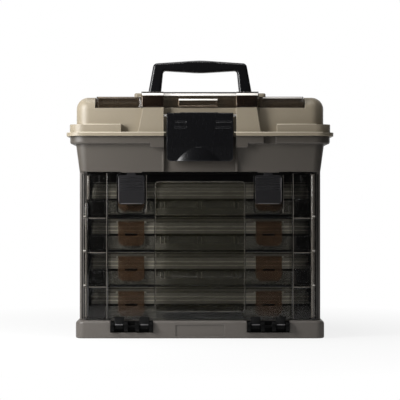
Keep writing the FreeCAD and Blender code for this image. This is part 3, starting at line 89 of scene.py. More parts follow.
class Slot(str, Enum):
    """Material slots of the record."""

    BASE = "base_taupe"
    CASE = "case_grey"
    LID = "lid_tan"
    COVER = "cover_smoke"
    BLACK = "black_plastic"
    DOOR = "door_smoke"
    BOX = "box_clear"
    CLIP = "clip_brown"
    PLATE = "divider_clear"
    STEEL = "steel"


# ---------- node wiring
@dataclass
class Wiring:
    """Adds and links nodes in one tree."""

    tree: bpy.types.NodeTree

    def add(self, kind: str, inputs: dict[str | int, Any] | None = None,
            **settings: Any) -> bpy.types.Node:
        """Add a node, set it up and feed its inputs.

        Args:
            kind: the node's type name, without ShaderNode.
            inputs: socket name or number against a value, or a socket to link from.
            settings: attributes of the node.

        Returns:
            The new node.
        """
        node = self.tree.nodes.new("ShaderNode" + kind)
        for key, setting in settings.items():
            setattr(node, key, setting)
        self.feed(node, inputs or {})
        return node

    def feed(self, node: bpy.types.Node, inputs: dict[str | int, Any]) -> None:
        """Set a node's inputs.

        Args:
            node: the node.
            inputs: socket name or number against a value, or a socket to link from.
        """
        for key, source in inputs.items():
            if isinstance(source, Socket):
                self.tree.links.new(source, node.inputs[key])
            else:
                node.inputs[key].default_value = source

    def math(self, how: str, *terms: float | Socket, clamp: bool = False) -> Socket:
        """Return a sum, product or other result of one Math node.

        Args:
            how: the operation's name.
            terms: numbers or sockets.
            clamp: True to hold the result between 0 and 1.

        Returns:
            The result's socket.
        """
        node = self.add("Math", dict(enumerate(terms)), operation=how, use_clamp=clamp)
        return node.outputs[0]

    def spread(self, source: Socket, low: float, high: float, to_low: float,
               to_high: float) -> Socket:
        """Return a value moved from one range to another, and held in it."""
        inputs = {"Value": source, "From Min": low, "From Max": high,
                  "To Min": to_low, "To Max": to_high}
        return self.add("MapRange", inputs).outputs["Result"]

    def blend(self, share: float | Socket, first: Any, second: Any,
              how: str = "MIX") -> Socket:
        """Return two colours mixed by a share."""
        inputs = {"Factor": share, 6: first, 7: second}
        node = self.add("Mix", inputs, data_type="RGBA", blend_type=how)
        return node.outputs[2]

    def sight(self) -> tuple[Socket, Socket]:
        """Return what marks rays seen directly or through plastic, and mirrored rays."""
        path = self.add("LightPath").outputs
        seen = self.math("MAXIMUM", path["Is Camera Ray"], path["Is Transmission Ray"])
        return seen, path["Is Glossy Ray"]


@dataclass
class EffectGroups:
    """Shader node groups that several finishes share, each built once."""

    built: dict[str, bpy.types.NodeTree] = field(default_factory=dict)

    def start(self, name: str, takes: dict[str, tuple[str, Any]],
              gives: dict[str, str]) -> tuple[Wiring, bpy.types.Node, bpy.types.Node]:
        """Open a group with named inputs and outputs.

        Args:
            name: the group's name.
            takes: input name against its kind and default.
            gives: output name against its kind.

        Returns:
            The wiring of the group, its input node and its output node.
        """
        tree = bpy.data.node_groups.new(name, "ShaderNodeTree")
        for label, (kind, default) in takes.items():
            socket = tree.interface.new_socket(label, in_out="INPUT",
                                               socket_type="NodeSocket" + kind)
            socket.default_value = default
        for label, kind in gives.items():
            tree.interface.new_socket(label, in_out="OUTPUT",
                                      socket_type="NodeSocket" + kind)
        self.built[name] = tree
        entry = tree.nodes.new("NodeGroupInput")
        leave = tree.nodes.new("NodeGroupOutput")
        return Wiring(tree), entry, leave

    def place(self, name: str) -> bpy.types.NodeTree:
        """Return the group, building it on first use."""
        if name not in self.built:
            getattr(self, "make_" + name)()
        return self.built[name]

    def make_tint_drift(self) -> None:
        """Uneven pigment: a colour that drifts a little lighter and darker."""
        w, entry, leave = self.start(
            "tint_drift", {"Colour": ("Color", (.5, .5, .5, 1)), "Amount": ("Float", .06),
                           "Scale": ("Float", 9.0)}, {"Colour": "Color"})
        spot = w.add("TexCoord").outputs["Object"]
        broad = w.add("TexNoise", {"Vector": spot, "Scale": entry.outputs["Scale"],
                                   "Detail": 3.0})
        fine = w.add("TexNoise", {"Vector": spot, "Scale": 420.0, "Detail": 2.0})
        mixed = w.math("ADD", w.math("MULTIPLY", broad.outputs[0], .7),
                       w.math("MULTIPLY", fine.outputs[0], .3))
        swing = w.math("MULTIPLY", w.math("SUBTRACT", mixed, .5), entry.outputs["Amount"])
        lift = w.math("MULTIPLY_ADD", swing, 2.0, 1.0)
        toned = w.add("HueSaturation", {"Color": entry.outputs["Colour"], "Value": lift})
        w.feed(leave, {"Colour": toned.outputs[0]})

    def make_mould_grain(self) -> None:
        """Fine texture that the mould leaves on a satin plastic."""
        w, entry, leave = self.start("mould_grain", {"Scale": ("Float", 700.0)},
                                     {"Height": "Float"})
        spot = w.add("TexCoord").outputs["Object"]
        pits = w.add("TexVoronoi", {"Vector": spot, "Scale": entry.outputs["Scale"]},
                     feature="SMOOTH_F1")
        swell = w.add("TexNoise", {"Vector": spot, "Scale": 38.0, "Detail": 2.0})
        height = w.math("MULTIPLY_ADD", swell.outputs[0], .8, pits.outputs["Distance"])
        w.feed(leave, {"Height": height})

    def make_edge_wear_and_highlight(self) -> None:
        """Broken light line along edges: wear, and a painted highlight."""
        w, entry, leave = self.start("edge_wear_and_highlight", {"Width": ("Float", .0009)},
                                     {"Mask": "Float"})
        soft = w.add("Bevel", {"Radius": entry.outputs["Width"]}, samples=4)
        flat = w.add("NewGeometry").outputs["Normal"]
        same = w.add("VectorMath", {0: soft.outputs[0], 1: flat}, operation="DOT_PRODUCT")
        turn = w.spread(same.outputs["Value"], .999, .86, 0, 1)
        spot = w.add("TexCoord").outputs["Object"]
        gaps = w.add("TexNoise", {"Vector": spot, "Scale": 55.0, "Detail": 4.0})
        broken = w.spread(gaps.outputs[0], .36, .62, .15, 1)
        w.feed(leave, {"Mask": w.math("MULTIPLY", turn, broken)})

    def make_hairlines(self) -> None:
        """Sparse handling scratches, long and thin."""
        w, entry, leave = self.start("hairlines", {"Scale": ("Float", 60.0)},
                                     {"Mask": "Float"})
        spot = w.add("TexCoord").outputs["Object"]
        fine = w.math("MULTIPLY", entry.outputs["Scale"], 12.0)
        masks = []
        for turn, squeeze in ((.5, .06), (-.9, .09)):
            drawn = w.add("Mapping", {"Vector": spot, "Rotation": (turn, .4, turn * 2),
                                      "Scale": (1, squeeze, squeeze)})
            lines = w.add("TexNoise", {"Vector": drawn.outputs[0], "Scale": fine,
                                       "Detail": 1.0})
            masks.append(w.spread(lines.outputs[0], .68, .74, 0, 1))
        w.feed(leave, {"Mask": w.math("MAXIMUM", *masks)})

    def make_settled_dust(self) -> None:
        """Thin dust on faces that look up."""
        w, entry, leave = self.start("settled_dust", {"Amount": ("Float", .12)},
                                     {"Mask": "Float"})
        up = w.add("SeparateXYZ", {0: w.add("NewGeometry").outputs["Normal"]})
        spot = w.add("TexCoord").outputs["Object"]
        patch = w.add("TexNoise", {"Vector": spot, "Scale": 26.0, "Detail": 5.0})
        lying = w.spread(up.outputs["Z"], .6, 1, 0, 1)
        cover = w.math("MULTIPLY", lying, w.spread(patch.outputs[0], .35, .7, .1, 1))
        w.feed(leave, {"Mask": w.math("MULTIPLY", cover, entry.outputs["Amount"])})


GROUPS = EffectGroups()


def use_group(w: Wiring, name: str, inputs: dict[str, Any]) -> Socket:
    """Place a shared group in a material.

    Args:
        w: the material's wiring.
        name: the group's name.
        inputs: values or sockets for it.

    Returns:
        The group's first output.
    """
    node = w.add("Group", node_tree=GROUPS.place(name))
    w.feed(node, inputs)
    return node.outputs[0]


def emptied(holder: bpy.types.Material | bpy.types.World) -> Wiring:
    """Return the wiring of a material or world, with its first nodes cleared away."""
    holder.use_nodes = True
    holder.node_tree.nodes.clear()
    return Wiring(holder.node_tree)


def new_material(name: str) -> tuple[bpy.types.Material, Wiring, bpy.types.Node]:
    """Start a material with one Principled shader.

    Args:
        name: the material's name.

    Returns:
        The material, its wiring and the shader node.
    """
    material = bpy.data.materials.new(name)
    w = emptied(material)
    shader = w.add("BsdfPrincipled")
    w.add("OutputMaterial", {"Surface": shader.outputs[0]})
    return material, w, shader


def screen(red: int, green: int, blue: int) -> Colour:
    """Return a colour written as 0 to 255 as the linear values that shaders take."""
    parts = (red / 255, green / 255, blue / 255)
    return tuple(p / 12.92 if p < .04045 else ((p + .055) / 1.055) ** 2.4 for p in parts)


# ---------- finishes
@dataclass(frozen=True)
class Moulded:
    """Opaque injection-moulded plastic with a fine texture, its edges lightened: wear, and
    a painted highlight.
    """

    name: str
    colour: Colour
    rough: float = .48
    drift: float = .07
    grain: float = 650.0
    grain_depth: float = .00009
    # edge lightening: wear, and a painted highlight along the edges
    rub_and_highlight: float = .35
    rub_and_highlight_lift: float = 1.7
    edge: float = .0012
    dust: float = .1
    specular: float = .5
    rub_and_highlight_reach: float = 1.6
    rub_and_highlight_floor: float = .02
    dust_tone: Colour = (.34, .32, .29)
    dust_gloss: float = .5
    scratch_gloss: float = .05
    grain_share: float = .6

    def build(self) -> bpy.types.Material:
        """Return the finished material."""
        material, w, shader = new_material(self.name)
        tone = use_group(w, "tint_drift", {"Colour": (*self.colour, 1),
                                           "Amount": self.drift})
        # edges lightened: wear, and a painted highlight
        worn_and_lit = tuple(min(1.0, part * self.rub_and_highlight_lift + self.rub_and_highlight_floor)
                     for part in self.colour)
        reach = {"Width": self.edge * self.rub_and_highlight_reach}
        rubbed_and_lit = w.math("MULTIPLY", use_group(w, "edge_wear_and_highlight", reach), self.rub_and_highlight)
        tone = w.blend(rubbed_and_lit, tone, (*worn_and_lit, 1))
        dust = use_group(w, "settled_dust", {"Amount": self.dust})
        tone = w.blend(dust, tone, (*self.dust_tone, 1))
        scratch = use_group(w, "hairlines", {})
        gloss = w.math("MULTIPLY_ADD", scratch, self.scratch_gloss, self.rough)
        gloss = w.math("MULTIPLY_ADD", dust, self.dust_gloss, gloss)
        soft = w.add("Bevel", {"Radius": self.edge}, samples=4)
        bump = w.add("Bump", {"Height": use_group(w, "mould_grain", {"Scale": self.grain}),
                              "Distance": self.grain_depth,
                              "Strength": self.grain_share,
                              "Normal": soft.outputs[0]})
        w.feed(shader, {"Base Color": tone, "Roughness": gloss, "Normal": bump.outputs[0],
                        "Specular IOR Level": self.specular})
        return material


@dataclass(frozen=True)
class Clear:
    """See-through moulded plastic: more solid where it is seen along its face, with a
    painted highlight along its edges.
    """

    name: str
    colour: Colour
    face: float
    rim: float
    rough: float = .12
    wave: float = .00016
    drift: float = .06
    edge: float = .0009
    # how far the painted edge highlight lifts the colour
    glow: float = 1.5
    coat: float = 0.0
    # emission strength: a painted glow on highlight pieces, which are no lamps
    shine: float = 0.0
    tint_scale: float = 14.0
    swell_scale: float = 30.0
    scratch_scale: float = 45.0
    scratch_gloss: float = .06
    scratch_solid: float = .015
    # reach, lift and solidity of the painted edge highlight
    rim_reach: float = 1.5
    rim_floor: float = .02
    rim_solid: float = .45
    index: float = 1.5
    wave_share: float = .5
    fringe: float = .35
    fringe_from: float = .05
    fringe_to: float = .9

    def build(self) -> bpy.types.Material:
        """Return the finished material."""
        material, w, shader = new_material(self.name)
        tone = use_group(w, "tint_drift", {"Colour": (*self.colour, 1),
                                           "Amount": self.drift, "Scale": self.tint_scale})
        scratch = use_group(w, "hairlines", {"Scale": self.scratch_scale})
        gloss = w.math("MULTIPLY_ADD", scratch, self.scratch_gloss, self.rough)
        spot = w.add("TexCoord").outputs["Object"]
        swell = w.add("TexNoise", {"Vector": spot, "Scale": self.swell_scale,
                                   "Detail": 1.0})
        soft = w.add("Bevel", {"Radius": self.edge}, samples=4)
        bump = w.add("Bump", {"Height": swell.outputs[0], "Distance": self.wave,
                              "Strength": self.wave_share, "Normal": soft.outputs[0]})
        seen = w.add("LayerWeight", {"Blend": self.fringe}).outputs["Facing"]
        solid = w.spread(seen, self.fringe_from, self.fringe_to, self.face, self.rim)
        solid = w.math("MULTIPLY_ADD", scratch, self.scratch_solid, solid)
        # painted highlight along the edges: lighter and more solid
        rim = use_group(w, "edge_wear_and_highlight", {"Width": self.edge * self.rim_reach})
        painted_edge_tone = tuple(min(1.0, part * self.glow + self.rim_floor) for part in self.colour)
        tone = w.blend(rim, tone, (*painted_edge_tone, 1))
        solid = w.math("MULTIPLY_ADD", rim, self.rim_solid, solid, clamp=True)
        w.feed(shader, {"Base Color": tone, "Roughness": gloss, "Alpha": solid,
                        "Normal": bump.outputs[0], "IOR": self.index,
                        "Coat Weight": self.coat, "Emission Color": (*self.colour, 1),
                        "Emission Strength": self.shine})
        return material


@dataclass(frozen=True)
class Drawn:
    """Drawn or plated steel wire."""

    name: str
    colour: Colour
    rough: float = .32
    drift: float = .1
    tint_scale: float = 60.0
    scratch_scale: float = 120.0
    scratch_gloss: float = .25
    grain: float = 1500.0
    grain_depth: float = .00003

    def build(self) -> bpy.types.Material:
        """Return the finished material."""
        material, w, shader = new_material(self.name)
        tone = use_group(w, "tint_drift", {"Colour": (*self.colour, 1),
                                           "Amount": self.drift, "Scale": self.tint_scale})
        scratch = use_group(w, "hairlines", {"Scale": self.scratch_scale})
        gloss = w.math("MULTIPLY_ADD", scratch, self.scratch_gloss, self.rough)
        bump = w.add("Bump", {"Height": use_group(w, "mould_grain", {"Scale": self.grain}),
                              "Distance": self.grain_depth})
        w.feed(shader, {"Base Color": tone, "Roughness": gloss, "Normal": bump.outputs[0],
                        "Metallic": 1.0})
        return material


# Edges of the opaque plastics are lightened as wear and as a painted highlight, most on the
# black; the clear plastics' edges carry a painted highlight, strongest on the door.
FINISHES: dict[Slot, Moulded | Clear | Drawn] = {
    Slot.BASE: Moulded("base_taupe", screen(94, 89, 84), rough=.46),
    Slot.CASE: Moulded("case_grey", screen(80, 75, 69), rough=.46, rub_and_highlight=.6),
    Slot.LID: Moulded("lid_tan", screen(146, 136, 118), rough=.44, rub_and_highlight=.7, rub_and_highlight_lift=1.6,
                      edge=.0013),
    Slot.BLACK: Moulded("black_plastic", screen(14, 14, 16), rough=.24, rub_and_highlight=.6,
                        rub_and_highlight_lift=6.0, grain=900.0, dust=.03, specular=.4, edge=.0014),
    Slot.COVER: Clear("cover_smoke", screen(46, 35, 24), face=.52, rim=.92, rough=.07,
                      glow=2.6, coat=.6),
    Slot.DOOR: Clear("door_smoke", screen(14, 13, 12), face=.17, rim=.8, rough=.08,
                     glow=5.0, coat=.5),
    Slot.BOX: Clear("box_clear", screen(198, 194, 178), face=.24, rim=.4, rough=.2,
                    wave=.00004, glow=1.3),
    Slot.CLIP: Clear("clip_brown", screen(108, 80, 55), face=.5, rim=.9, rough=.22,
                     glow=1.4),
    Slot.PLATE: Clear("divider_clear", screen(150, 147, 125), face=.25, rim=.8,
                      rough=.25),
    Slot.STEEL: Drawn("steel", screen(196, 194, 190)),
}


class Look(Enum):
    """Finishes for painted highlights and painted shade, and for places where a plastic
    looks unlike the rest of its slot.
    """

    # painted highlight, glowing a little: the cover's top-edge strip and catch
    COVER_GLEAM = Clear("cover_smoke_gleam", screen(240, 236, 230), face=.95, rim=.98,
                        wave=.00002, drift=.03, glow=1.1, coat=.5, shine=.45)
    # painted highlight lines on the cover's edges
    COVER_HIGHLIGHT = Clear("cover_smoke_highlight", screen(150, 132, 112), face=.6, rim=.9,
                       wave=.00002, glow=1.3, coat=.5)
    # painted highlight lines on the lid's top edges
    LID_HIGHLIGHT = Moulded("lid_tan_highlight", screen(212, 202, 182), rough=.4, rub_and_highlight=.2,
                       rub_and_highlight_lift=1.1, dust=.02)
    # painted shade over the cover's pillars
    COVER_DARK = Clear("cover_smoke_dark", screen(26, 16, 10), face=.7, rim=.95, rough=.08,
                       coat=.5)
    # the lids' lighter plastic; also used for a painted light band on the trays
    BOX_LID = Clear("box_clear_lid", screen(218, 212, 194), face=.42, rim=.45, rough=.2,
                    wave=.00004, drift=.03, glow=1.2)
    # painted highlights on the lids' rings and the trays' guides
    BOX_HIGHLIGHT = Clear("box_clear_highlight", screen(238, 230, 206), face=.6, rim=.9, rough=.2,
                     wave=.00002, drift=.03, glow=1.1)
    # painted shade: black rings at the lid seam and under the lid steps
    BOX_SHADE = Moulded("box_clear_shade", screen(4, 4, 3), rough=.6, rub_and_highlight=0.0, dust=0.0,
                   specular=.06)
    # painted highlights on the door's steps, shoulders, ribs and channels
    DOOR_HIGHLIGHT = Clear("door_smoke_highlight", screen(98, 93, 86), face=.75, rim=.95, rough=.24,
                      coat=.15)
    # painted glints, glowing a little
    DOOR_GLINT = Clear("door_smoke_glint", screen(176, 172, 166), face=.8, rim=.9, rough=.2,
                       glow=1.2, shine=.12)
    # painted highlight round the middle panel
    DOOR_PANEL_HIGHLIGHT = Clear("door_smoke_panel_highlight", screen(98, 93, 84), face=.4, rim=.7, coat=.3)
    DOOR_SHADE = Clear("door_smoke_shade", screen(8, 8, 7), face=.85, rim=.95, rough=.1,
                       coat=.4)
    DOOR_PANEL = Clear("door_smoke_panel", screen(84, 80, 54), face=.13, rim=.5, rough=.08)
    # painted shade sheets behind the door
    DOOR_SHADE_SHEET = Clear("door_smoke_shade_sheet", screen(14, 13, 10), face=.34, rim=.6, rough=.3)
    TAB = Moulded("black_plastic_tab", screen(27, 26, 28), rough=.38, rub_and_highlight=.3, rub_and_highlight_lift=2.2,
                  grain=900.0, dust=.03, specular=.4)
    # painted highlights on the latches' edges and the hinge barrels
    TAB_HIGHLIGHT = Moulded("black_plastic_highlight", screen(96, 94, 96), rough=.3, dust=.02)
    # the hinges' own black; over the door's hinge arms it is painted shade
    HINGE = Moulded("black_plastic_hinge", screen(3, 3, 3), rough=.5, rub_and_highlight=.1, rub_and_highlight_lift=2.0,
                    grain=900.0, dust=0.0, specular=.12, edge=.0005)
    # painted shade on the rack's lips
    SHADE = Moulded("base_taupe_shade", screen(30, 28, 25), rough=.4, dust=.02)


# ---------- shared making
def put(name: str, data: bpy.types.ID, place: Point = (0, 0, 0),
        turn: Sequence[float] = (0, 0, 0)) -> bpy.types.Object:
    """Add an object to the scene.

    Args:
        name: the object's name.
        data: its mesh, lamp or camera.
        place: where it stands.
        turn: its rotation in radians about each axis.

    Returns:
        The new object.
    """
    made = bpy.data.objects.new(name, data)
    made.location, made.rotation_euler = place, turn
    bpy.context.scene.collection.objects.link(made)
    return made


@dataclass
class Workshop:
    """Turns bmesh work into named pieces and dresses the frame's own nodes."""

    frame: dict[str, Any]
    made: dict[str, bpy.types.Material] = field(default_factory=dict)

    def finish_of(self, slot: Slot, look: Look | None = None) -> bpy.types.Material:
        """Find the material of a finish, making it on first use.

        Args:
            slot: the finish.
            look: a special look, where the slot's own doesn't do.

        Returns:
            The material.
        """
        finish = look.value if look else FINISHES[slot]
        if finish.name not in self.made:
            self.made[finish.name] = finish.build()
        return self.made[finish.name]

    def dress(self, slot: Slot, *names: str, look: Look | None = None) -> None:
        """Give frame nodes their finish.

        Args:
            slot: the finish.
            names: node names.
            look: a special look, where the slot's own doesn't do.
        """
        for name in names:
            node = self.frame["nodes"][name]
            for place in node.material_slots:
                place.material = self.finish_of(slot, look)
            LOG.info("dressed %s in %s", name, slot.value)

    def piece(self, name: str, mesh: bmesh.types.BMesh, slot: Slot, body: str,
              look: Look | None = None, smooth: float = 40.0) -> bpy.types.Object:
        """Make a piece from a bmesh that is already in place.

        Args:
            name: the piece's name.
            mesh: its shape in metres, in the row frame.
            slot: its finish.
            body: the body that it moves with.
            look: a special look, where the slot's own doesn't do.
            smooth: the angle in degrees below which edges are shaded smooth.

        Returns:
            The new object.
        """
        bmesh.ops.remove_doubles(mesh, verts=mesh.verts, dist=WELD_WITHIN)
        bmesh.ops.recalc_face_normals(mesh, faces=mesh.faces)
        limit = math.radians(smooth)
        for face in mesh.faces:
            face.smooth = True
        for edge in mesh.edges:
            edge.smooth = edge.is_manifold and edge.calc_face_angle(math.pi) < limit
        data = bpy.data.meshes.new(name)
        mesh.to_mesh(data)
        mesh.free()
        made = put(name, data)
        data.materials.append(self.finish_of(slot, look))
        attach(made, body)
        LOG.info("made %s on %s", name, body)
        return made


def block(mesh: bmesh.types.BMesh, low: Sequence[float], high: Sequence[float],
          round_by: float = 0.0, steps: int = 2) -> list[bmesh.types.BMVert]:
    """Add a box between two corners in millimetres, with rounded edges.

    Args:
        mesh: the bmesh that gets it.
        low: lowest corner.
        high: highest corner.
        round_by: edge radius in millimetres.
        steps: segments of the rounding.

    Returns:
        The box's vertices.
    """
    middle = [(a + b) / 2 * MM for a, b in zip(low, high)]
    size = [(b - a) * MM for a, b in zip(low, high)]
    place = Matrix.Translation(middle) @ Matrix.Diagonal((*size, 1))
    verts = bmesh.ops.create_cube(mesh, size=1, matrix=place)["verts"]
    if round_by:
        edges = {edge for vert in verts for edge in vert.link_edges}
        out = bmesh.ops.bevel(mesh, geom=list(edges), offset=round_by * MM,
                              segments=steps, profile=.5, affect="EDGES", material=-1)
        verts = out["verts"]
    return verts


def ring(mesh: bmesh.types.BMesh, low: Sequence[float], high: Sequence[float],
         corner: float, width: float, deep: float, place: Matrix,
         steps: int = 6) -> None:
    """Add a flat frame with rounded corners, in millimetres before it is placed.

    Args:
        mesh: the bmesh that gets it.
        low: lowest corner in the frame's own plane.
        high: highest corner in it.
        corner: outer corner radius.
        width: width of the frame's bars.
        deep: thickness, along the plane's normal.
        place: matrix in metres that puts the plane in the row frame.
        steps: segments of each corner.
    """
    middle = Matrix.Translation(((low[0] + high[0]) / 2, (low[1] + high[1]) / 2, 0))
    size = Matrix.Diagonal((high[0] - low[0], high[1] - low[1], 1, 1))
    verts = bmesh.ops.create_grid(mesh, x_segments=1, y_segments=1, size=.5,
                                  matrix=middle @ size)["verts"]
    verts = bmesh.ops.bevel(mesh, geom=verts, offset=corner, segments=steps, profile=.5,
                            affect="VERTICES", material=-1)["verts"]
    face = verts[0].link_faces[0]
    bars = bmesh.ops.inset_region(mesh, faces=[face], thickness=width, use_boundary=True,
                                  use_even_offset=True)["faces"]
    bmesh.ops.delete(mesh, geom=[face], context="FACES_ONLY")
    out = bmesh.ops.extrude_face_region(mesh, geom=bars, use_keep_orig=True)["geom"]
    top = [part for part in out if isinstance(part, bmesh.types.BMVert)]
    bmesh.ops.translate(mesh, vec=(0, 0, deep), verts=top)
    both = {vert for bar in bars for vert in bar.verts} | set(top)
    bmesh.ops.transform(mesh, matrix=place @ Matrix.Scale(MM, 4), verts=list(both))


def rod(mesh: bmesh.types.BMesh, start: Sequence[float], end: Sequence[float],
        radius: float, sides: int = 20, soft: float = .45, steps: int = 3) -> None:
    """Add a round bar between two points in millimetres, with softened ends.

    Args:
        mesh: the bmesh that gets it.
        start: middle of one end.
        end: middle of the other.
        radius: the bar's radius.
        sides: flats round it.
        soft: share of the radius that its ends are rounded by.
        steps: segments of the rounding.
    """
    a, b = Vector(start) * MM, Vector(end) * MM
    turn = (b - a).to_track_quat("Z", "Y").to_matrix().to_4x4()
    verts = bmesh.ops.create_cone(mesh, cap_ends=True, segments=sides, radius1=radius * MM,
                                  radius2=radius * MM, depth=(b - a).length,
                                  matrix=Matrix.Translation((a + b) / 2) @ turn)["verts"]
    rims = {edge for vert in verts for edge in vert.link_edges
            if any(len(face.verts) > 4 for face in edge.link_faces)}
    bmesh.ops.bevel(mesh, geom=list(rims), offset=radius * MM * soft, segments=steps,
                    profile=.5, affect="EDGES", material=-1)


def facing_front(y: float) -> Matrix:
    """Return the matrix that stands a flat plan upright, looking forward, at y in mm."""
    return Matrix.Translation((0, y * MM, 0)) @ Matrix.Rotation(math.pi / 2, 4, "X")


def lying_at(z: float) -> Matrix:
    """Return the matrix that lays a flat plan level, at z in mm."""
    return Matrix.Translation((0, 0, z * MM))


@dataclass(frozen=True)
class Bar:
    """A thin bar over an upright face, in millimetres.

    It runs across from start to end, up from low to high, stands out of the face by out,
    reaches into it by sunk, and has its edges rounded by soft.
    """

    start: float
    end: float
    low: float
    high: float
    face: float
    out: float = .4
    sunk: float = .6
    soft: float = .3

    def lay(self, mesh: bmesh.types.BMesh, side: int = 1, across: float = 0.0,
            up: float = 0.0) -> None:
        """Add the bar to a mesh.

        Args:
            mesh: the bmesh that gets it.
            side: -1 for its mirror image on the left.
            across: how far it is moved to the right, once mirrored.
            up: how far it is lifted.
        """
        left, right = sorted((side * self.start + across, side * self.end + across))
        block(mesh, (left, self.face - self.out, self.low + up),
              (right, self.face + self.sunk, self.high + up), self.soft)


def trim(start: float, end: float, low: float, high: float, face: float) -> Bar:
    """Return a slim bar that stands as far out of a face as it reaches into it."""
    return Bar(start, end, low, high, face, TRIM_PROUD, TRIM_PROUD, TRIM_SOFT)


def laid(bars: Iterable[Bar], sides: Iterable[int] = (1,)) -> bmesh.types.BMesh:
    """Lay bars into a new mesh.

    Args:
        bars: the bars, as they are on the right.
        sides: 1 to lay them as they are, -1 to lay them mirrored on the left.

    Returns:
        The new mesh.
    """
    mesh = bmesh.new()
    for side in sides:
        for bar in bars:
            bar.lay(mesh, side)
    return mesh


# ---------- cabinet
@dataclass
class Cabinet:
    """Base, rack, back and upper case, which stand still."""

    shop: Workshop
    # black bars that darken the rail fronts
    dark_front: Bar = Bar(155.7, 178.0, 29.6, 51.0, -109.6, 1.6, 0.0, .6)
    # painted shade lines on the rack's lips beside the door
    lip_shades: tuple[Bar, ...] = (
        Bar(186.0, 187.6, 31.0, 264.0, -115.5, .3, .3, .12),
        Bar(188.9, 190.8, 31.0, 264.0, -115.5, .3, .3, .12))

    def rail_dark_fronts(self) -> None:
        """Lay black bars over the fronts of the rails that carry the upper boxes."""
        mesh = bmesh.new()
        for side in SIDES:
            for row in range(1, BOXES):
                self.dark_front.lay(mesh, side, up=BOX_PITCH * row)
        self.shop.piece("rail_dark_fronts", mesh, Slot.BLACK, Body.CABINET.value)

    def build(self) -> None:
        """Dress the standing nodes, lay black bars on the rails' fronts and paint shade
        lines on the lips beside the door.
        """
        self.shop.dress(Slot.BASE, "base_tray", "side_panel_left", "side_panel_right",
                        "back_panel")
        self.shop.dress(Slot.CASE, "upper_case")
        self.shop.dress(Slot.BLACK, "door_hinge_left", "door_hinge_right",
                        "door_hinge_pins", look=Look.HINGE)
        self.shop.dress(Slot.STEEL, "panel_screws", "lid_hinge_pins")
        self.rail_dark_fronts()
        self.shop.piece("rack_lip_shades", laid(self.lip_shades, SIDES), Slot.BASE,
                        Body.CABINET.value, Look.SHADE)


# ---------- lid
COVER_FRONT = -132.0
BAND_FRONT = -142.5
CATCH_FRONT = -136.0
FLANGE_FRONT = -147.5
# painted highlights on the cover's top edge, catch and right wing
GLEAM_BARS = (Bar(-58.0, 58.0, 389.0, 392.6, COVER_FRONT, .5, 1.2, .5),
              Bar(-92.5, -58.0, 389.0, 392.6, BAND_FRONT, .5, 1.2, .5),
              Bar(58.0, 92.5, 389.0, 392.6, BAND_FRONT, .5, 1.2, .5),
              Bar(-34.0, 28.0, 381.4, 383.6, CATCH_FRONT, .3),
              Bar(100.5, 164.0, 385.2, 386.2, COVER_FRONT))
# painted highlights on the catch outline, pillar edges and left wing
HIGHLIGHT_BARS = (Bar(-164.0, -100.5, 385.2, 386.2, COVER_FRONT),
             Bar(-34.8, -33.4, 372.5, 382.0, CATCH_FRONT, .3, .5),
             Bar(-34.0, 28.0, 371.7, 372.8, CATCH_FRONT, .3, .5),
             Bar(-92.9, -91.6, 372.0, 389.0, BAND_FRONT),
             Bar(57.6, 58.9, 372.0, 389.0, BAND_FRONT))
# painted shade over the pillars and along the top of the cover
SHADE_BARS = (Bar(-58.0, 58.0, 392.7, 394.9, COVER_FRONT, .6, 1.6, .5),
              Bar(-93.5, -58.0, 392.7, 394.9, BAND_FRONT, .6, 1.6, .5),
              Bar(58.0, 93.5, 392.7, 394.9, BAND_FRONT, .6, 1.6, .5),
              Bar(-91.5, -58.5, 371.0, 388.6, BAND_FRONT, .3, .8),
              Bar(59.0, 91.5, 371.0, 388.6, BAND_FRONT, .3, .8))
# painted highlights along the top edges of the flange and band
EDGE_HIGHLIGHT_BARS = (Bar(-196.0, -54.0, 329.3, 330.5, FLANGE_FRONT, .2, 1.0),
             Bar(54.0, 196.0, 329.3, 330.5, FLANGE_FRONT, .2, 1.0),
             Bar(-186.0, -126.0, 342.4, 343.5, BAND_FRONT, .2, .9),
             Bar(123.0, 186.0, 342.4, 343.5, BAND_FRONT, .2, .9))


@dataclass
class Lid:
    """Lid shell, its bay plates, smoke cover, handle and front latch."""

    shop: Workshop

    def build(self) -> None:
        """Dress the lid's nodes and lay painted highlight and painted shade lines along its
        edges.
        """
        shop, cover = self.shop, Body.COVER.value
        shop.dress(Slot.LID, "lid_shell")
        shop.dress(Slot.PLATE, "lid_dividers")
        shop.dress(Slot.COVER, "top_cover")
        shop.piece("cover_front_gleam", laid(GLEAM_BARS), Slot.COVER, cover,
                   Look.COVER_GLEAM)
        shop.piece("cover_front_highlights", laid(HIGHLIGHT_BARS), Slot.COVER, cover, Look.COVER_HIGHLIGHT)
        shop.piece("cover_pillar_shades", laid(SHADE_BARS), Slot.COVER, cover,
                   Look.COVER_DARK)
        shop.piece("lid_edge_highlights", laid(EDGE_HIGHLIGHT_BARS), Slot.LID, Body.LID.value,
                   Look.LID_HIGHLIGHT)
        shop.dress(Slot.BLACK, "handle", "main_latch")
        shop.dress(Slot.STEEL, "handle_pins", "main_latch_pin")


# ---------- door
DOOR_FACE = -125.5
DOOR_SIDE_FACE = -122.5
GAP_FACE = -119.2
DOOR_LOW = 30.5
DOOR_HIGH = 265.5
# painted highlight and painted shade along the door's steps
STEP_LIGHTS = (trim(149.5, 150.5, DOOR_LOW, DOOR_HIGH, DOOR_SIDE_FACE),)
STEP_SHADES = (trim(147.6, 149.2, DOOR_LOW, DOOR_HIGH, DOOR_SIDE_FACE),)
# painted shade by the left shoulder
LEFT_SHADES = (trim(-181.3, -179.1, 34.5, 217.0, DOOR_SIDE_FACE),
               trim(-186.05, -184.75, 34.5, 217.0, -121.2))
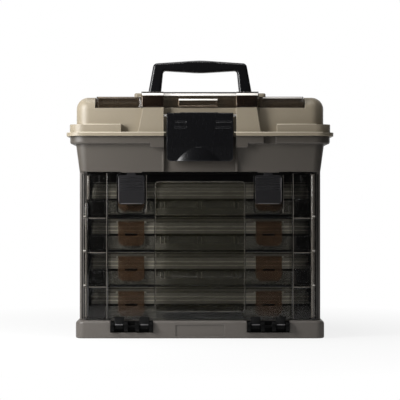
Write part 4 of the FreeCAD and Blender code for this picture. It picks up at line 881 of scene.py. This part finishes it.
# painted highlight line across the middle panel
PANEL_SPLIT = trim(-70.0, 70.0, 98.6, 99.8, DOOR_FACE + .5)
PANEL_TINT = Bar(-71.0, 71.0, 43.6, 250.7, -122.8, 0.0, 2.5, .6)
# painted shade sheets behind the door's lower middle and its sides
FOOT_SHADE_SHEET = Bar(-71.0, 71.0, 31.0, 54.0, -119.9, 0.0, 2.3, .6)
SIDE_SHADE_SHEET = Bar(150.5, 178.0, 31.5, 264.5, -119.4, 0.0, 2.3, .6)
# painted shade lines behind the door at the gaps between boxes
GAP_SIDE = trim(73.0, 147.0, -2.1, 2.1, GAP_FACE)
GAP_MIDDLE = trim(-72.0, 72.0, -.9, 2.1, GAP_FACE)
# painted highlight and painted shade along the door's ribs
RIB_LIGHT = trim(150.6, 184.0, -.65, .65, DOOR_SIDE_FACE)
RIB_SHADE = trim(150.6, 176.0, -2.25, -.95, DOOR_SIDE_FACE)
# painted glint on each lug
LUG_GLINT = trim(-3.4, .8, 2.55, 3.85, -124.6)
# painted highlights on the channels' right walls
CHANNEL_LIGHTS = (trim(23.55, 24.45, 203.8, 261.5, DOOR_FACE),
                  trim(22.4, 24.4, 201.8, 207.8, DOOR_FACE))


@dataclass(frozen=True)
class Frame:
    """A flat rounded frame on the door: its half width, ends, corner and bars."""

    half: float
    low: float
    high: float
    corner: float
    width: float
    deep: float
    face: float

    def lay(self, mesh: bmesh.types.BMesh, across: float = 0.0) -> None:
        """Add the frame to a mesh, moved across."""
        ring(mesh, (across - self.half, self.low), (across + self.half, self.high),
             self.corner, self.width, self.deep, facing_front(self.face))


@dataclass
class FrontDoor:
    """Smoke door, painted highlight and shade lines along its moulding, and its sliding
    latches.

    Rolls are upright rods: place across, depth, lower end, upper end and radius.
    """

    shop: Workshop
    # the rolls carry painted highlights on the door's shoulders
    rolls: tuple[tuple[float, ...], ...] = (
        (181.6, -121.22, 32.5, 263.5, 3.2), (-179.4, -121.22, 223.0, 261.5, 2.56),
        (-183.2, DOOR_SIDE_FACE, 34.5, 217.0, 1.3))
    rib_up: float = 81.9
    rib_pitch: float = 55.4
    # lug rods in the highlight finish: painted highlights
    lug_x: float = 184.0
    lug_left: float = 4.0
    lug_right: float = 1.4
    lug_up: float = 2.6
    lug_radius: float = 2.4
    # painted highlight ring and painted shade ring round the middle panel
    highlight_ring: Frame = Frame(72.0, 42.6, 251.7, 6.0, .9, .5, -125.2)
    shade_ring: Frame = Frame(73.2, 41.4, 252.9, 7.2, 1.1, .4, -125.3)
    gaps_up: tuple[float, ...] = (84.2, 139.9, 194.6)
    tab_x: float = 110.0
    channel: Frame = Frame(23.8, 198.8, 266.0, 7.8, 2.2, .5, -123.5)
    ridge_rows: int = 6
    ridge_low: float = 238.5
    ridge_pitch: float = 3.9
    ridge_half: float = 18.0
    ridge_thick: float = .55
    # painted highlight bars on each latch's outer and lower edges
    tab_edge: tuple[float, ...] = (19.85, 20.75, 219.4, 257.8)
    tab_foot: tuple[float, ...] = (-17.0, 17.0, 215.85, 216.75)
    tab_proud: float = .1
    arm_front: float = -134.4
    arm_foot: float = 16.0
    arm_crest: float = 23.8
    arm_root: float = 34.3
    arm_shine: tuple[float, float] = (21.65, 23.15)
    shine_inset: float = 1.0
    arm_spans: tuple[tuple[float, float], ...] = ((81.6, 97.1), (121.9, 137.4))

    def piece(self, name: str, mesh: bmesh.types.BMesh, look: Look) -> None:
        """Make a piece that rides on the door."""
        self.shop.piece(name, mesh, Slot.DOOR, Body.DOOR.value, look)

    def steps(self) -> None:
        """Paint highlight and shade lines along the two steps between the middle of the
        door and its sides, and shade by the left shoulder.
        """
        dark = laid(STEP_SHADES, SIDES)
        for bar in LEFT_SHADES:
            bar.lay(dark)
        self.piece("door_step_highlights", laid(STEP_LIGHTS, SIDES), Look.DOOR_HIGHLIGHT)
        self.piece("door_step_shades", dark, Look.DOOR_SHADE)

    def shoulders(self) -> None:
        """Round the two tall shoulders of the door with rods in the highlight finish:
        painted highlights.
        """
        mesh = bmesh.new()
        for x, y, low, high, radius in self.rolls:
            rod(mesh, (x, y, low), (x, y, high), radius)
        self.piece("door_shoulder_highlight_rolls", mesh, Look.DOOR_HIGHLIGHT)

    def ribs(self) -> None:
        """Paint highlight and shade lines along the level ribs between the boxes, with a
        highlight rod and a painted glint on each rib's lug.
        """
        light, dark, glint = bmesh.new(), bmesh.new(), bmesh.new()
        for row in range(BOXES - 1):
            z = self.rib_up + self.rib_pitch * row
            for side in SIDES:
                RIB_LIGHT.lay(light, side, up=z)
                RIB_SHADE.lay(dark, side, up=z)
                lug = side * self.lug_x
                rod(light, (lug - self.lug_left, DOOR_SIDE_FACE, z + self.lug_up),
                    (lug + self.lug_right, DOOR_SIDE_FACE, z + self.lug_up),
                    self.lug_radius)
                LUG_GLINT.lay(glint, across=lug, up=z)
        self.piece("door_rib_glints", glint, Look.DOOR_GLINT)
        self.piece("door_rib_highlights", light, Look.DOOR_HIGHLIGHT)
        self.piece("door_rib_shades", dark, Look.DOOR_SHADE)

    def panel(self) -> None:
        """Edge the middle panel with a painted highlight ring and a painted shade ring, and
        a highlight line across it, over its tint and painted shade sheets.
        """
        light, dark, dim = bmesh.new(), bmesh.new(), laid((SIDE_SHADE_SHEET,), SIDES)
        self.highlight_ring.lay(light)
        self.shade_ring.lay(dark)
        PANEL_SPLIT.lay(light)
        FOOT_SHADE_SHEET.lay(dim)
        self.piece("door_panel_highlight_ring", light, Look.DOOR_PANEL_HIGHLIGHT)
        self.piece("door_panel_shade_ring", dark, Look.DOOR_SHADE)
        self.piece("door_panel_tint", laid((PANEL_TINT,)), Look.DOOR_PANEL)
        self.piece("door_shade_sheets", dim, Look.DOOR_SHADE_SHEET)

    def hinge_arms(self) -> None:
        """Paint shade over the fronts of the door's hinge arms, and a highlight line on
        each barrel.
        """
        dark, light = bmesh.new(), bmesh.new()
        rise, run = self.arm_root - self.arm_crest, DOOR_FACE - self.arm_front
        middle = (0, (self.arm_front + run / 2) * MM, (self.arm_crest + rise / 2) * MM)
        place = Matrix.Translation(middle) @ Matrix.Rotation(-math.atan2(run, rise), 4, "X")
        half = math.hypot(run, rise) / 2
        for side in SIDES:
            for start, end in self.arm_spans:
                left, right = sorted((side * start, side * end))
                slope = block(dark, (left, -TRIM_PROUD, -half), (right, TRIM_PROUD, half),
                              TRIM_SOFT)
                bmesh.ops.transform(dark, matrix=place, verts=slope)
                trim(left, right, self.arm_foot, self.arm_crest, self.arm_front).lay(dark)
                trim(left + self.shine_inset, right - self.shine_inset, *self.arm_shine,
                     self.arm_front - TRIM_PROUD).lay(light)
        self.piece("door_hinge_arm_shades", dark, Look.HINGE)
        self.piece("door_hinge_arm_lights", light, Look.TAB_HIGHLIGHT)

    def gap_lines(self) -> None:
        """Paint shade lines behind the door where one box ends and the next begins."""
        mesh = bmesh.new()
        for z in self.gaps_up:
            for side in SIDES:
                GAP_SIDE.lay(mesh, side, up=z)
            GAP_MIDDLE.lay(mesh, up=z)
        self.piece("door_gap_shades", mesh, Look.DOOR_SHADE)

    def channels(self) -> None:
        """Paint shade in the gaps round the sliding latches and a highlight on the
        channels' right walls.
        """
        light, dark = bmesh.new(), bmesh.new()
        for side in SIDES:
            self.channel.lay(dark, side * self.tab_x)
            for bar in CHANNEL_LIGHTS:
                bar.lay(light, across=side * self.tab_x)
        self.piece("latch_channel_lights", light, Look.DOOR_HIGHLIGHT)
        self.piece("latch_channel_shades", dark, Look.DOOR_SHADE)

    def tab_ridges(self) -> None:
        """Draw the grip ridges, and a painted highlight on the outer edge and lower edge of
        each sliding latch.
        """
        for side, hand in zip(SIDES, ("left", "right")):
            dark, light = bmesh.new(), bmesh.new()
            middle = side * self.tab_x
            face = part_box(f"door_latch_{hand}")[0][1] / MM + self.tab_proud
            ridge = trim(-self.ridge_half, self.ridge_half, -self.ridge_thick,
                         self.ridge_thick, face)
            for row in range(self.ridge_rows):
                ridge.lay(dark, across=middle, up=self.ridge_low + self.ridge_pitch * row)
            trim(*self.tab_edge, face).lay(light, side, across=middle)
            trim(*self.tab_foot, face).lay(light, across=middle)
            body = f"tab_{hand}"
            self.shop.piece(f"latch_{hand}_ridges", dark, Slot.BLACK, body)
            self.shop.piece(f"latch_{hand}_edges", light, Slot.BLACK, body, Look.TAB_HIGHLIGHT)

    def build(self) -> None:
        """Dress the door's nodes and add its small forms."""
        self.shop.dress(Slot.DOOR, "front_door")
        self.shop.dress(Slot.BLACK, "door_latch_left", "door_latch_right", look=Look.TAB)
        self.steps()
        self.shoulders()
        self.ribs()
        self.panel()
        self.gap_lines()
        self.channels()
        self.tab_ridges()
        self.hinge_arms()


# ---------- boxes
@dataclass
class StorageBox:
    """One utility box: tray, lid, plates and clips.

    A band is how far in from the rim it runs, its lower edge over the seam and its height.
    """

    shop: Workshop
    number: int
    rim_front: float = -111.0
    rim_back: float = 116.5
    corner: float = 9.0
    band_thick: float = 1.0
    # painted shade rings round the box
    painted_shade_bands: tuple[tuple[float, ...], ...] = ((-.2, -2.16, 3.6), (1.8, 19.6, 1.1),
                                                 (3.3, 25.2, 1.1))
    # painted highlight rings round the lid
    painted_highlight_bands: tuple[tuple[float, ...], ...] = ((1.8, 6.1, 1.3), (.8, 11.8, 1.7))
    # painted highlight lines along the tray's guides
    guides: tuple[float, ...] = (-63.7, -57.3, -4.2, 2.2, 55.3, 61.7)
    guide: Bar = Bar(-.7, .7, 2.0, 20.0, -107.0, .3, .3, .1)
    # painted light band on the middle of the tray's front
    tray_light_bar: Bar = Bar(-71.0, 71.0, -25.2, -14.7, -107.0, .4, .3, .2)

    def band(self, mesh: bmesh.types.BMesh, inset: float, up: float, tall: float) -> None:
        """Run a band round the box.

        Args:
            mesh: the bmesh that gets it.
            inset: how far in from the rim it runs.
            up: its lower edge over the box's seam.
            tall: its height.
        """
        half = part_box(f"box_{self.number}_lid")[1][0] / MM - inset
        ring(mesh, (-half, self.rim_front + inset), (half, self.rim_back - inset),
             self.corner - inset, self.band_thick, tall, lying_at(self.seam() + up))

    def seam(self) -> float:
        """Return the height of the seam between tray and lid."""
        return SEAM_UP + BOX_PITCH * (self.number - 1)

    def build(self) -> None:
        """Dress the box's nodes, and paint shade rings round its seam and lid steps,
        highlight rings on the lid, highlight lines on the tray's guides and a light band on
        the tray.
        """
        name = f"box_{self.number}"
        dark, light, pale = bmesh.new(), bmesh.new(), bmesh.new()
        for row in self.painted_shade_bands:
            self.band(dark, *row)
        for row in self.painted_highlight_bands:
            self.band(light, *row)
        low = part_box(f"{name}_tray")[0][2] / MM
        for x in self.guides:
            self.guide.lay(light, across=x, up=low)
        self.tray_light_bar.lay(pale, up=self.seam())
        self.shop.piece(f"{name}_tray_light_band", pale, Slot.BOX, name, Look.BOX_LID)
        self.shop.piece(f"{name}_shade_rings", dark, Slot.BOX, name, Look.BOX_SHADE)
        self.shop.piece(f"{name}_highlight_lines", light, Slot.BOX, name, Look.BOX_HIGHLIGHT)
        self.shop.dress(Slot.BOX, f"{name}_tray")
        self.shop.dress(Slot.BOX, f"{name}_lid", look=Look.BOX_LID)
        self.shop.dress(Slot.PLATE, f"{name}_dividers")
        self.shop.dress(Slot.CLIP, f"{name}_latch_left", f"{name}_latch_right")
        self.shop.dress(Slot.STEEL, f"{name}_hinge_pins")


# ---------- studio
@dataclass(frozen=True)
class SoftBox:
    """One area lamp: place and aim in metres, power in watts, width and height."""

    name: str
    place: Point
    aim: Point
    watts: float
    wide: float
    tall: float

    def hang(self) -> None:
        """Add the lamp to the scene."""
        data = bpy.data.lights.new(self.name, "AREA")
        data.shape = "RECTANGLE"
        data.energy, data.size, data.size_y = self.watts, self.wide, self.tall
        beam = Vector(self.aim) - Vector(self.place)
        put(self.name, data, self.place, beam.to_track_quat("-Z", "Y").to_euler())


@dataclass(frozen=True)
class Studio:
    """Pale floor, white surround, lamps and the camera."""

    floor_half: float = .8
    floor_place: Point = (0, 0, -.0002)
    floor_grey: float = .86
    fade_from: float = .25
    fade_to: float = .72
    fade_low: float = .84
    sheet_half: float = 4.5
    sheet_place: Point = (0, 4.2, 2.4)
    sheet_grey: float = .8
    matt: float = .9
    eye_level: float = .222
    eye_back: float = 2.735
    eye_reach: float = 60.0
    front_plane: float = .135
    frame_width: float = .64
    sensor: float = 36.0
    fill: float = .097
    gloss_fill: float = .05
    floor_gloss: float = .15
    lamps: tuple[SoftBox, ...] = (
        SoftBox("key", (-.62, -.5, .5), (0, -.1, .25), 7.8, .3, .45),
        SoftBox("top", (-.15, -.1, 1.5), (0, 0, .3), 3.5, 1.0, .7),
        SoftBox("strip", (-.1, -.3, 1.2), (0, -.12, .3), 3.2, 1.2, .08))

    def sheet(self, name: str, half: float, turn: Matrix, place: Point,
              material: bpy.types.Material) -> None:
        """Put up a square sheet that isn't part of the object.

        Args:
            name: the sheet's name.
            half: half the length of its side, in metres.
            turn: matrix that turns it from lying level.
            place: where its middle is.
            material: its finish.
        """
        mesh = bmesh.new()
        bmesh.ops.create_grid(mesh, x_segments=1, y_segments=1, size=half, matrix=turn)
        data = bpy.data.meshes.new(name)
        mesh.to_mesh(data)
        mesh.free()
        item = put(name, data, place)
        data.materials.append(material)

    def pale(self, name: str, grey: float, specular: float
             ) -> tuple[bpy.types.Material, Wiring, bpy.types.Node]:
        """Start a matt material that can glow plain white.

        Args:
            name: the material's name.
            grey: how light it is where it doesn't glow.
            specular: how much it mirrors there.

        Returns:
            The material, its wiring, and the node whose first input is the glow's share.
        """
        material = bpy.data.materials.new(name)
        w = emptied(material)
        matt = w.add("BsdfPrincipled", {"Base Color": (grey, grey, grey, 1),
                                        "Roughness": self.matt,
                                        "Specular IOR Level": specular})
        white = w.add("Emission", {"Color": WHITE, "Strength": 1.0})
        both = w.add("MixShader", {1: matt.outputs[0], 2: white.outputs[0]})
        w.add("OutputMaterial", {"Surface": both.outputs[0]})
        return material, w, both

    def floor(self) -> None:
        """Lay the floor: white to the eye, with a faint shadow by the object."""
        material, w, both = self.pale("studio_floor", self.floor_grey, 0.0)
        spot = w.add("TexCoord").outputs["Object"]
        away = w.add("VectorMath", {0: spot}, operation="LENGTH").outputs["Value"]
        glow = w.spread(away, self.fade_from, self.fade_to, self.fade_low, 1)
        seen, mirrored = w.sight()
        seen = w.math("MULTIPLY_ADD", mirrored, self.floor_gloss, seen, clamp=True)
        w.feed(both, {0: w.math("MULTIPLY", glow, seen)})
        self.sheet("floor", self.floor_half, Matrix(), self.floor_place, material)

    def backdrop(self) -> None:
        """Hang a white sheet far behind, for gloss and edges to mirror."""
        material, w, both = self.pale("studio_backdrop", self.sheet_grey, .5)
        w.feed(both, {0: w.math("MAXIMUM", *w.sight())})
        self.sheet("backdrop", self.sheet_half, Matrix.Rotation(math.pi / 2, 4, "X"),
                   self.sheet_place, material)

    def surround(self) -> None:
        """Light the room softly, white only where the camera sees it."""
        world = bpy.data.worlds.new("studio")
        w = emptied(world)
        seen, mirrored = w.sight()
        dim = w.math("MULTIPLY_ADD", mirrored, self.gloss_fill - self.fill, self.fill)
        light = w.add("Background", {"Color": WHITE,
                                     "Strength": w.math("MAXIMUM", seen, dim)})
        w.add("OutputWorld", {"Surface": light.outputs[0]})
        bpy.context.scene.world = world

    def camera(self) -> None:
        """Set the camera level with the middle of the frame, straight in front."""
        data = bpy.data.cameras.new("eye")
        data.sensor_width = self.sensor
        data.lens = self.sensor * (self.eye_back - self.front_plane) / self.frame_width
        data.clip_end = self.eye_reach
        bpy.context.scene.camera = put("eye", data, (0, -self.eye_back, self.eye_level),
                                       (math.pi / 2, 0, 0))

    def build(self) -> None:
        """Set up the whole studio."""
        self.floor()
        self.backdrop()
        self.surround()
        for lamp in self.lamps:
            lamp.hang()
        self.camera()
        bpy.context.scene.view_settings.view_transform = "Standard"


def main() -> None:
    """Build the looks around the frame, one sub-assembly after another."""
    logging.basicConfig(level=logging.INFO, format="%(message)s")
    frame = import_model()
    shop = Workshop(frame)
    parts = [Studio(), Cabinet(shop), Lid(shop), FrontDoor(shop)]
    parts += [StorageBox(shop, number) for number in range(1, BOXES + 1)]
    for part in parts:
        part.build()


if __name__ == "__main__":
    main()
